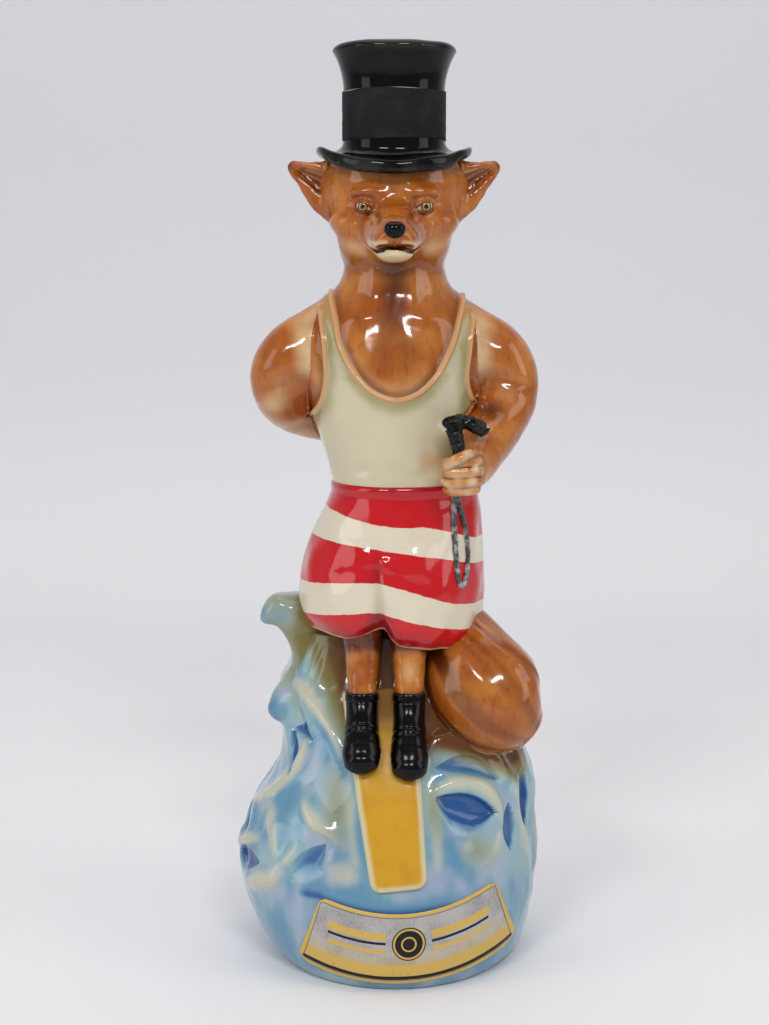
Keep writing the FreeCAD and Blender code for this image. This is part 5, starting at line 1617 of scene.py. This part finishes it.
class DECANTER_OT_head(bpy.types.Operator):
    """Head: skull, muzzle, nose and eyes of a calm fox"""

    bl_idname = "decanter.head"
    bl_label = "Head"

    def execute(self, context):
        fur = fur_finish("head_glaze", (1, 1, 0.35), (0.3, 0, 0))
        skull = stack_gap(SKULL_ROWS)
        mouth = smooth_line(MOUTH, 20)

        def gap(points):
            """Skull, muzzle, cheeks, brows, jaw and pads melted together; sockets, lids, mouth and
            the neck's bore cut in."""
            x, y, z = np.moveaxis(points, -1, 0)
            half = np.stack([np.abs(x), y, z], -1)
            head = skull(points)
            for centre, radii, reach in FACE_BALLS:
                head = melt(head, ball_gap(half, centre, radii), reach)
            head = carve(head, ball_gap(half, EYE + EYE_OUT * 4.6, (5.2, 3.2, 3.2)), 3.0)
            rel = half - EYE
            across = rel @ EYE_SIDE
            rise = rel @ EYE_RISE
            ahead = rel @ EYE_OUT
            head = melt(head, np.linalg.norm(rel, axis=-1) - EYE_RADIUS - 0.45, 0.9)
            head = carve(head, np.maximum(0.75 * past_lids(across, rise), 0.8 - ahead), 0.35)
            fold = np.maximum(np.abs(rise - 2.5 + 0.10 * across**2) - 0.12, np.abs(across) - 3.6)
            head = carve(head, np.maximum(fold, np.maximum(-head - 0.5, -ahead)), 0.6)
            line = near_line(np.stack([y, z], -1), mouth)[0]
            head = carve(head, np.maximum(line - 0.3, -head - 0.9), 0.8)
            cleft = np.maximum(np.abs(x) - 0.2, np.maximum(y + 40.5, np.maximum(z - 260.0, -head - 0.5)))
            head = carve(head, cleft, 0.6)
            head = head + 0.10 * murmur(points, 7, 101)
            head = np.maximum(np.maximum(head, z - brim_height(x, BRIM_BEND) - 1.6), 240.0 - z)
            return np.maximum(head, np.minimum(BORE_RADIUS + 0.2 - np.hypot(x, y), z - 256.0))

        low = np.array((-29.0, -48.0, 239.0))
        high = np.array((29.1, 25.0, 291.0))
        volume_piece("head", gap, low, high, 0.42, fur, ["head"], self.paint)
        self.nose()
        self.eyes()
        return {"FINISHED"}

    def paint(self, points):
        """Fields of the face: dark lips, lids and brow, painted shade in the lid folds, the sockets and under
        the brim, cream chin and lips, paler cheeks.
        """
        x, y, z = np.moveaxis(points, -1, 0)
        wide = np.abs(x)
        front = ease(4, 12, -y)
        gap, _, side = near_line(np.stack([y, z], -1), smooth_line(MOUTH, 30))
        lips = 1.7 * bell(gap, 0.55) * ease(-21, -24, y)
        rel = np.stack([wide, y, z], -1) - EYE
        across = rel @ EYE_SIDE
        rise = rel @ EYE_RISE
        near = ease(-3.5, -1.5, -np.hypot(across / 1.5, rise)) * front
        lids = 1.3 * near * bell(past_lids(across, rise), 0.42)
        # Painted shade in the carved fold over each lid
        fold = 0.5 * bell(rise - 2.5 + 0.10 * across**2, 0.5) * ease(4.0, 3.0, np.abs(across)) * front
        # Painted shade in the eye sockets
        socket = 0.42 * bell(np.hypot((across + 1.0) / 1.6, rise), 3.4) * front
        tear = 0.5 * bell(np.hypot(wide - 5.6, (z - 266.6) / 2.2), 1.3) * front
        # Painted shade under the hat's brim
        shade_under_brim = 0.55 * ease(279, 285, z)
        strokes = 0.30 * bell(x, 6.5) * ease(268, 278, z) * front
        bridge = 0.22 * bell(wide - 4.6, 1.6) * ease(262, 266, z) * ease(274, 268, z) * front
        shade = lips + lids + fold + socket + tear + shade_under_brim + strokes + bridge + throat_shade(x, y, z)
        chin = 0.95 * ease(0.2, -1.0, gap * side) * ease(-19, -27, y)
        lip = 0.75 * bell(z - 257.4, 2.0) * ease(-26, -32, y) * ease(0.8, 3.0, wide)
        cheek = 0.42 * bell(z - 256.6 - 0.25 * (wide - 12), 3.4) * ease(6, 11, wide) * ease(4, -6, y)
        muzzle = 0.28 * bell(z - 261.5, 2.2) * ease(-28, -36, y)
        brow = 0.38 * bell(np.hypot((wide - 8.6) / 1.6, z - 276.3), 1.4) * front
        pale = np.maximum(np.maximum(chin, lip), np.maximum(cheek, muzzle)) + brow
        pale = pale * (1 - np.clip(lips + lids, 0, 1)) * ease(248.5, 252.0, z)
        return {"shade": shade, "pale": pale}

    def nose(self):
        """Gloss black nose: a rounded wedge with two nostrils."""
        rows, columns = 60, 72
        up = np.linspace(-0.999, 0.999, rows)[:, None]
        turn = ring_angles(columns)[None]
        flat = np.cos(0.5 * math.pi * up) ** 0.85
        wide, deep, tall = NOSE_RADII
        x = wide * (1 + 0.16 * up) * flat * np.cos(turn)
        y = NOSE_Y + deep * flat * np.sin(turn)
        z = NOSE_Z + tall * np.sin(0.5 * math.pi * up) + 0 * turn
        nose = np.stack([x, y, z], -1)
        ahead = ease(0, 1.5, NOSE_Y - y)
        nostril = -0.9 * bell(np.hypot(np.abs(x) - 1.9, (z - 261.6) / 0.9), 0.75) * ahead
        groove = -0.35 * bell(x, 0.4) * ahead * ease(263.4, 261.0, z)
        nose = raised(nose, nostril + groove)
        ring_piece("nose", nose, black_finish("nose_glaze", 0.08), fields={"edge": 0 * z})

    def eyes(self):
        """Amber eyes with dark pupils: balls set behind the lids, ringed round the way they look."""

        def recipe(w):
            across = w.field("ring")
            streak = w.noise(0.0005, 2.0)
            deeper = (across + 0.4 * (streak - 0.5)).step(0.30, 0.50)
            body = w.mix("amber_light", "amber", deeper)
            body = w.mix(body, "pupil", 1 - across.step(0.24, 0.29))
            body = w.mix(body, "eye_rim", across.step(0.46, 0.54))
            return w.mix(body, "eye_white", across.step(0.56, 0.66))

        amber = finish("eye_glaze", recipe, roughness=0.05, coat=1.0, uneven=0.04)
        polar = np.linspace(0.02, math.pi - 0.02, 40)[:, None]
        turn = ring_angles(48)[None]
        for name, sign in (("left_eye", 1), ("right_eye", -1)):
            flip = np.array((sign, 1, 1))
            centre, out = EYE * flip, EYE_OUT * flip
            side = EYE_SIDE * flip
            rise = np.cross(side, out)
            flat = EYE_RADIUS * np.sin(polar)
            ball = centre + (flat * np.cos(turn))[..., None] * side + (flat * np.sin(turn))[..., None] * rise
            ball = ball + (EYE_RADIUS * np.cos(polar) + 0 * turn)[..., None] * out
            ring = polar + 0 * turn
            if np.sum(outward(ball)[20] * (ball[20] - centre)) < 0:
                ball, ring = ball[::-1], ring[::-1]
            ring_piece(name, ball, amber, fields={"ring": ring})


# Ears: x on the figure's left, height, half depth and half width from root to tip
EAR_LINE = np.array([
    (17.0, 273.6, 5.0, 9.4),
    (21.0, 276.4, 4.7, 9.6),
    (25.0, 278.9, 4.3, 8.8),
    (29.0, 281.2, 3.8, 6.4),
    (32.6, 283.2, 3.1, 4.2),
    (35.2, 284.7, 2.4, 2.7),
    (36.8, 285.5, 1.5, 1.6),
    (37.4, 285.8, 0.5, 0.6),
])


class DECANTER_OT_ears(bpy.types.Operator):
    """Ears that stand out under the brim, cupped in front"""

    bl_idname = "decanter.ears"
    bl_label = "Ears"

    def execute(self, context):
        fur = fur_finish("ear_glaze")
        rows, columns = 110, 96
        x, z, deep, tall = EAR_LINE.T
        share = np.linspace(0, 1, rows)[:, None]
        turn = ring_angles(columns)[None]
        ahead = np.clip(-np.cos(turn), 0, 1)
        across = np.abs(np.sin(turn))
        cup = 4.4 * ahead * bell(across, 0.66) * (1 - 0.4 * share)
        cup = cup * ease(0.16, 0.42, share) * ease(1.0, 0.74, share)
        inner = ease(0.5, 3.0, cup)
        for name, sign in (("left_ear", 1), ("right_ear", -1)):
            ear = sweep(np.column_stack([sign * x, 0 * x, z, deep, tall]), rows, columns)
            ear = ear + np.array((0, 1.0, 0)) * cup[..., None]
            ear = raised(ear, 0.12 * murmur(ear, 4, 111))
            ear = fillet(ear, stack_gap(SKULL_ROWS), 5.0)
            strokes = 0.5 + 0.5 * np.sin(turn * 22 + 6 * share)
            shade = 0.7 * inner * strokes + 0.9 * ease(0.88, 1.0, share) + 0.3 * inner
            pale = 0.5 * bell(inner - 0.5, 0.25) * (1 - strokes) + 0.35 * bell(across - 0.93, 0.06) * ahead
            fur_piece(name, ear, fur, shade, pale)
        return {"FINISHED"}


def brim_height(x, radius):
    """Height of a surface bent up at both sides, round a rod along Y of that radius."""
    return HAT_Z + BRIM_BEND - np.sqrt(radius**2 - x**2)


class DECANTER_OT_hat(bpy.types.Operator):
    """Brim and collar of the hat, with the bore of the neck"""

    bl_idname = "decanter.hat"
    bl_label = "Hat brim"

    def execute(self, context):
        # Rows: radius, height, kind (0 at its height, 1 on the brim, 2 round its rim, 3 under it) and extra
        round_z = SEAM_Z - COLLAR_ROUND
        inner = BORE_RADIUS + COLLAR_ROUND
        outer = COLLAR_RADIUS - COLLAR_ROUND
        quarter = np.linspace(0, TURN / 4, 7)[1:-1]
        corner = [(COLLAR_ROUND * math.sin(a), COLLAR_ROUND * math.cos(a)) for a in quarter]
        bore = [(BORE_RADIUS, z, 0, 0) for z in np.linspace(HAT_Z + 1.2, round_z, 10)]
        bore += [(inner - cosine, round_z + sine, 0, 0) for sine, cosine in corner]
        seat = [(r, SEAM_Z, 0, 0) for r in np.linspace(inner, outer, 8)]
        seat += [(outer + sine, round_z + cosine, 0, 0) for sine, cosine in corner]
        wall = [(COLLAR_RADIUS, z, 0, 0) for z in np.linspace(round_z, 294.6, 8)]
        bends = np.linspace(0, TURN / 4, 24)[1:]
        flare = [(COLLAR_RADIUS + 5.6 * (1 - math.cos(a)), 0, 1, 4.6 * (1 - math.sin(a))) for a in bends]
        top = [(r, 0, 1, 0) for r in np.linspace(23.8, BRIM_RADIUS, 8)]
        rim = [(BRIM_RADIUS + 1.5 * math.sin(a), 0, 2, a / math.pi) for a in np.linspace(0, math.pi, 17)]
        under = [(r, 0, 3, 0) for r in np.linspace(25.6, BORE_RADIUS, 18)]
        table = np.array(bore + seat + wall + flare + top + rim + under)[::-1]
        grid = spun(table[:, :2], 240)
        x = grid[..., 0]
        droop = ease(4, 24, -grid[..., 1]) * ease(12, 24, np.hypot(x, grid[..., 1]))
        upper = brim_height(x, BRIM_BEND - BRIM_THICKNESS) - 0.9 * droop
        lower = brim_height(x, BRIM_BEND) - 2.7 * droop
        kind = table[:, 2:3]
        extra = table[:, 3:4]
        z = np.where(kind == 0, grid[..., 2], 0)
        z = np.where(kind == 1, upper + extra, z)
        z = np.where(kind == 2, lower + (upper - lower) * (0.5 + 0.5 * np.cos(extra * math.pi)), z)
        z = np.where(kind == 3, lower, z)
        grid[..., 2] = z
        drawn = np.clip(np.hypot(x, grid[..., 1]) - 19, 0, 8) / 8
        grid[..., 2] += drawn * 0.3 * murmur(grid, 17, 121)
        # Edge: the rim of the brim and a little of its flare, greyed as rubbed wear and a painted highlight
        edge = np.clip((kind == 2) * np.sin(extra * math.pi), 0, 1) + 0 * x
        edge += 0.3 * (kind == 1) * bell(extra - 2.0, 1.2)
        black = black_finish("hat_glaze", 0.09)
        nodes = ["hat_brim", "neck_sleeve"]
        ring_piece("hat_brim", grid, black, nodes, fields={"edge": edge}, loop=True)
        return {"FINISHED"}


class DECANTER_OT_band(bpy.types.Operator):
    """Matte band of tape round the joint of the hat"""

    bl_idname = "decanter.band"
    bl_label = "Seal band"

    def execute(self, context):
        columns = 300
        turn = ring_angles(columns)
        inner = COLLAR_RADIUS + 0.02
        outer = inner + size_of("band")
        heights = np.linspace(294.0, 310.9, 46)
        outline = [(inner, z) for z in heights[::-1]] + [(outer, z) for z in heights]
        grid = spun(outline, columns)
        z = grid[..., 2]
        share = (z - heights[0]) / (heights[-1] - heights[0])
        radius = np.hypot(grid[..., 0], grid[..., 1])
        lap = 0.16 * ease(0.02, 0.0, np.abs(((turn - 2.2 + math.pi) % TURN) - math.pi) - 0.30)
        wrinkle = 0.05 * murmur(grid * (1, 1, 0.35), 4.0, 131) + 0.04 * murmur(grid * (0.4, 0.4, 1), 2.2, 133)
        swell = np.where(radius > COLLAR_RADIUS + 0.15, np.clip(wrinkle + lap, -0.1, 0.3), 0)
        grid = grid + unit(grid * (1, 1, 0)) * swell[..., None]
        grid[..., 2] += 0.18 * np.sin(3 * turn + 0.6) * ease(0.85, 1.0, share)
        grid[..., 2] -= 0.2 * np.sin(2 * turn) * ease(0.15, 0.0, share)
        edge = ease(0.972, 0.992, share) * (0.6 + 0.4 * np.sin(5 * turn + 2.0))

        def recipe(w):
            cloud = w.noise(0.008, 3.0)
            fibre = w.noise(0.0009, 3.0, w.place((1, 1, 2.5)))
            body = w.mix("tape", "tape_light", (cloud + 0.4 * (fibre - 0.5)).step(0.42, 0.74))
            body = w.mix(body, "worn", (w.field("edge") + 0.8 * (cloud - 0.5)).step(0.45, 0.75) * 0.85)
            specks = w.noise(0.0021, 1.0).step(0.80, 0.82)
            return w.mix(body, "worn", specks * 0.8), 0.5 + 0.25 * cloud

        tape = finish("band_tape", recipe, coat=0.0, uneven=0.35, lump=0.0018, shine=0.2)
        ring_piece("seal_band", grid, tape, ["seal_band"], fields={"edge": edge}, loop=True)
        return {"FINISHED"}


class DECANTER_OT_crown(bpy.types.Operator):
    """Flared crown of the hat, the cap of the stopper"""

    bl_idname = "decanter.crown"
    bl_label = "Hat crown"

    def execute(self, context):
        climb = np.linspace(0, FLARE_RISE, 60)
        out = LIP_RADIUS - SKIRT_RADIUS
        bend = (out**2 + FLARE_RISE**2) / (2 * out)
        flare_r = SKIRT_RADIUS + bend - np.sqrt(bend**2 - climb**2)
        flare_z = FLARE_Z + climb
        corner = np.linspace(0, TURN / 4, 20)
        lid_radius = LIP_RADIUS - LIP_ROUND
        edge_r = lid_radius + LIP_ROUND * np.cos(corner) ** 0.8
        edge_z = FLARE_Z + FLARE_RISE + LIP_HEIGHT * np.sin(corner) ** 0.9
        lid_r = np.linspace(lid_radius - 0.2, 0.4, 40)
        lid_z = FLARE_Z + FLARE_RISE + LIP_HEIGHT + LID_DOME * (1 - (lid_r / lid_radius) ** 2)
        outline = [(r, SEAM_Z + 0.15) for r in np.linspace(9.7, SKIRT_RADIUS - 0.5, 8)]
        outline += [(SKIRT_RADIUS - 0.1, SEAM_Z + 0.3), (SKIRT_RADIUS, SEAM_Z + 0.7)]
        outline += [(SKIRT_RADIUS, z) for z in np.linspace(301.5, 310.5, 14)]
        outline += list(zip(flare_r, flare_z)) + list(zip(edge_r[1:], edge_z[1:])) + list(zip(lid_r, lid_z))
        grid = spun(outline, 260)
        z = grid[..., 2]
        # Edge: the round of the lip, greyed as rubbed wear and a painted highlight
        edge = 0.8 * ease(321, 325, z) * ease(327.6, 326.0, z)
        grid = raised(grid, 0.12 * murmur(grid, 15, 141) * ease(312, 322, z))
        grid[..., 2] = np.minimum(grid[..., 2], TOP_Z)
        black = black_finish("crown_glaze", 0.08)
        ring_piece("hat_crown", grid, black, ["hat_crown"], STOPPER, {"edge": edge})
        return {"FINISHED"}


class DECANTER_OT_cork(bpy.types.Operator):
    """Cork under the crown: pores and bark on the part's own solid"""

    bl_idname = "decanter.cork"
    bl_label = "Cork"

    def execute(self, context):
        def recipe(w):
            grain = w.noise(0.004, 4.0, w.place((1, 1, 0.6)))
            pores = w.noise(0.0016, 2.0, w.place((1, 1, 0.35)))
            body = w.mix("cork", "cork_shade", grain.step(0.4, 0.7))
            return w.mix(body, "cork_pore", pores.step(0.62, 0.70)), 0.75 + 0.2 * grain

        bark = finish("cork_bark", recipe, coat=0.0, uneven=0.6, lump=0.0016)
        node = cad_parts["stopper_cork"]
        node.data.materials.clear()
        node.data.materials.append(bark)
        return {"FINISHED"}


# Paper, in metres: its front edge, where its bend starts, the radius of the bend, its top and half width
PAPER_FRONT_Y = -1.6
PAPER_BEND_Y = 0.55
PAPER_BEND = 0.35
PAPER_TOP_Z = 2.4
PAPER_HALF = 2.4

# Lamps: place, width and height in metres, and watts. Two long ones above the front, a broad one overhead
# and one at each side
LAMPS = (
    ((-0.46, -1.05, 0.98), (0.36, 0.12), 4.4),
    ((0.26, -1.05, 0.98), (0.36, 0.12), 4.4),
    ((0.0, 0.2, 1.75), (1.7, 1.3), 8.5),
    ((1.35, -0.5, 0.75), (0.6, 1.1), 4.0),
    ((-1.4, -0.6, 0.65), (0.6, 1.1), 4.0),
)
LAMP_TARGET = (0.0, 0.0, 0.17)
ROOM_LIGHT = (0.92, 0.94, 1.0, 1)
ROOM_STRENGTH = 0.33

# Camera: height and focal length in pixels of the photograph, place in metres, and degrees it looks down
PHOTO_HEIGHT = 1025
FOCAL_PIXELS = 1740
CAMERA_PLACE = (-0.0034, -0.626, 0.253)
CAMERA_DIP = 8.3


class DECANTER_OT_stage(bpy.types.Operator):
    """Paper floor and wall, soft lights and the camera"""

    bl_idname = "decanter.stage"
    bl_label = "Stage"

    def execute(self, context):
        self.paper()
        self.lights()
        self.camera()
        return {"FINISHED"}

    def paper(self):
        """One sheet: flat under the decanter, then bent up a quarter round into a wall."""
        bend = np.linspace(0, TURN / 4, 24)
        wall_y = PAPER_BEND_Y + PAPER_BEND
        y = np.concatenate([[PAPER_FRONT_Y], PAPER_BEND_Y + PAPER_BEND * np.sin(bend), [wall_y]])
        z = np.concatenate([[0.0], PAPER_BEND * (1 - np.cos(bend)), [PAPER_TOP_Z]])
        sides = [np.column_stack([x + 0 * y, y, z]) for x in (-PAPER_HALF, PAPER_HALF)]
        grid = np.stack(sides, 1)
        index = np.arange(2 * len(y)).reshape(len(y), 2)
        quads = np.stack([index[:-1, 0], index[:-1, 1], index[1:, 1], index[1:, 0]], -1)
        mesh = bpy.data.meshes.new("paper")
        mesh.from_pydata(grid.reshape(-1, 3).tolist(), [], quads.tolist())
        mesh.polygons.foreach_set("use_smooth", np.ones(len(quads), bool))
        paper = bpy.data.objects.new("paper", mesh)
        bpy.context.scene.collection.objects.link(paper)
        material = bpy.data.materials.new("paper")
        material.use_nodes = True
        tree = material.node_tree
        shader = tree.nodes["Principled BSDF"]
        w = Wire(tree)
        height = w.node("ShaderNodeSeparateXYZ", inputs={"Vector": w.place()}, output=2)
        # Painted shade: the sheet turns from the floor colour to the darker wall colour as it rises
        w.feed(shader.inputs["Base Color"], w.mix("floor", "wall", height.step(0.0, 0.22)))
        shader.inputs["Roughness"].default_value = 0.9
        shader.inputs["Specular IOR Level"].default_value = 0.1
        mesh.materials.append(material)

    def lights(self):
        """Soft lamps turned to the middle of the decanter, and the pale light of the room."""
        for number, (place, shape, power) in enumerate(LAMPS):
            data = bpy.data.lights.new(f"lamp_{number}", "AREA")
            data.shape = "RECTANGLE"
            data.size = shape[0]
            data.size_y = shape[1]
            data.energy = power
            lamp = bpy.data.objects.new(f"lamp_{number}", data)
            lamp.location = place
            toward = np.array(LAMP_TARGET) - np.array(place)
            tilt = math.atan2(math.hypot(toward[0], toward[1]), -toward[2])
            lamp.rotation_euler = (tilt, 0, math.atan2(toward[1], toward[0]) - TURN / 4)
            bpy.context.scene.collection.objects.link(lamp)
        world = bpy.context.scene.world or bpy.data.worlds.new("room")
        bpy.context.scene.world = world
        world.use_nodes = True
        back = world.node_tree.nodes["Background"]
        back.inputs["Color"].default_value = ROOM_LIGHT
        back.inputs["Strength"].default_value = ROOM_STRENGTH
        bpy.context.scene.view_settings.view_transform = "Standard"

    def camera(self):
        """The photograph's place: 0.63 m in front, 0.25 m up, looking a little down."""
        data = bpy.data.cameras.new("camera")
        data.sensor_fit = "VERTICAL"
        data.angle_y = 2 * math.atan(PHOTO_HEIGHT / 2 / FOCAL_PIXELS)
        camera = bpy.data.objects.new("camera", data)
        camera.location = CAMERA_PLACE
        camera.rotation_euler = (math.radians(90 - CAMERA_DIP), 0, 0)
        bpy.context.scene.collection.objects.link(camera)
        bpy.context.scene.camera = camera


OPERATORS = (
    DECANTER_OT_wave,
    DECANTER_OT_board,
    DECANTER_OT_label,
    DECANTER_OT_trunks,
    DECANTER_OT_legs,
    DECANTER_OT_boots,
    DECANTER_OT_tail,
    DECANTER_OT_torso,
    DECANTER_OT_vest,
    DECANTER_OT_arms,
    DECANTER_OT_crop,
    DECANTER_OT_head,
    DECANTER_OT_ears,
    DECANTER_OT_hat,
    DECANTER_OT_band,
    DECANTER_OT_crown,
    DECANTER_OT_cork,
    DECANTER_OT_stage,
)


class DECANTER_PT_panel(bpy.types.Panel):
    """Sidebar panel with the sizes, the colours and a button for each piece"""

    bl_idname = "DECANTER_PT_panel"
    bl_label = "Decanter"
    bl_space_type = "VIEW_3D"
    bl_region_type = "UI"
    bl_category = "Decanter"

    def draw(self, context):
        for group in (context.scene.decanter_sizes, context.scene.decanter_colours):
            column = self.layout.column(align=True)
            for name in group.bl_rna.properties.keys():
                if name not in ("rna_type", "name"):
                    column.prop(group, name)
        for operator in OPERATORS:
            self.layout.operator(operator.bl_idname)


CLASSES = (DecanterColours, DecanterSizes, *OPERATORS, DECANTER_PT_panel)


def register():
    for item in CLASSES:
        bpy.utils.register_class(item)
    bpy.types.Scene.decanter_colours = bpy.props.PointerProperty(type=DecanterColours)
    bpy.types.Scene.decanter_sizes = bpy.props.PointerProperty(type=DecanterSizes)


def unregister():
    del bpy.types.Scene.decanter_sizes
    del bpy.types.Scene.decanter_colours
    for item in reversed(CLASSES):
        bpy.utils.unregister_class(item)


def main():
    """Makes every piece and the stage."""
    register()
    for operator in OPERATORS:
        group, name = operator.bl_idname.split(".")
        getattr(getattr(bpy.ops, group), name)()


if __name__ == "__main__":
    main()
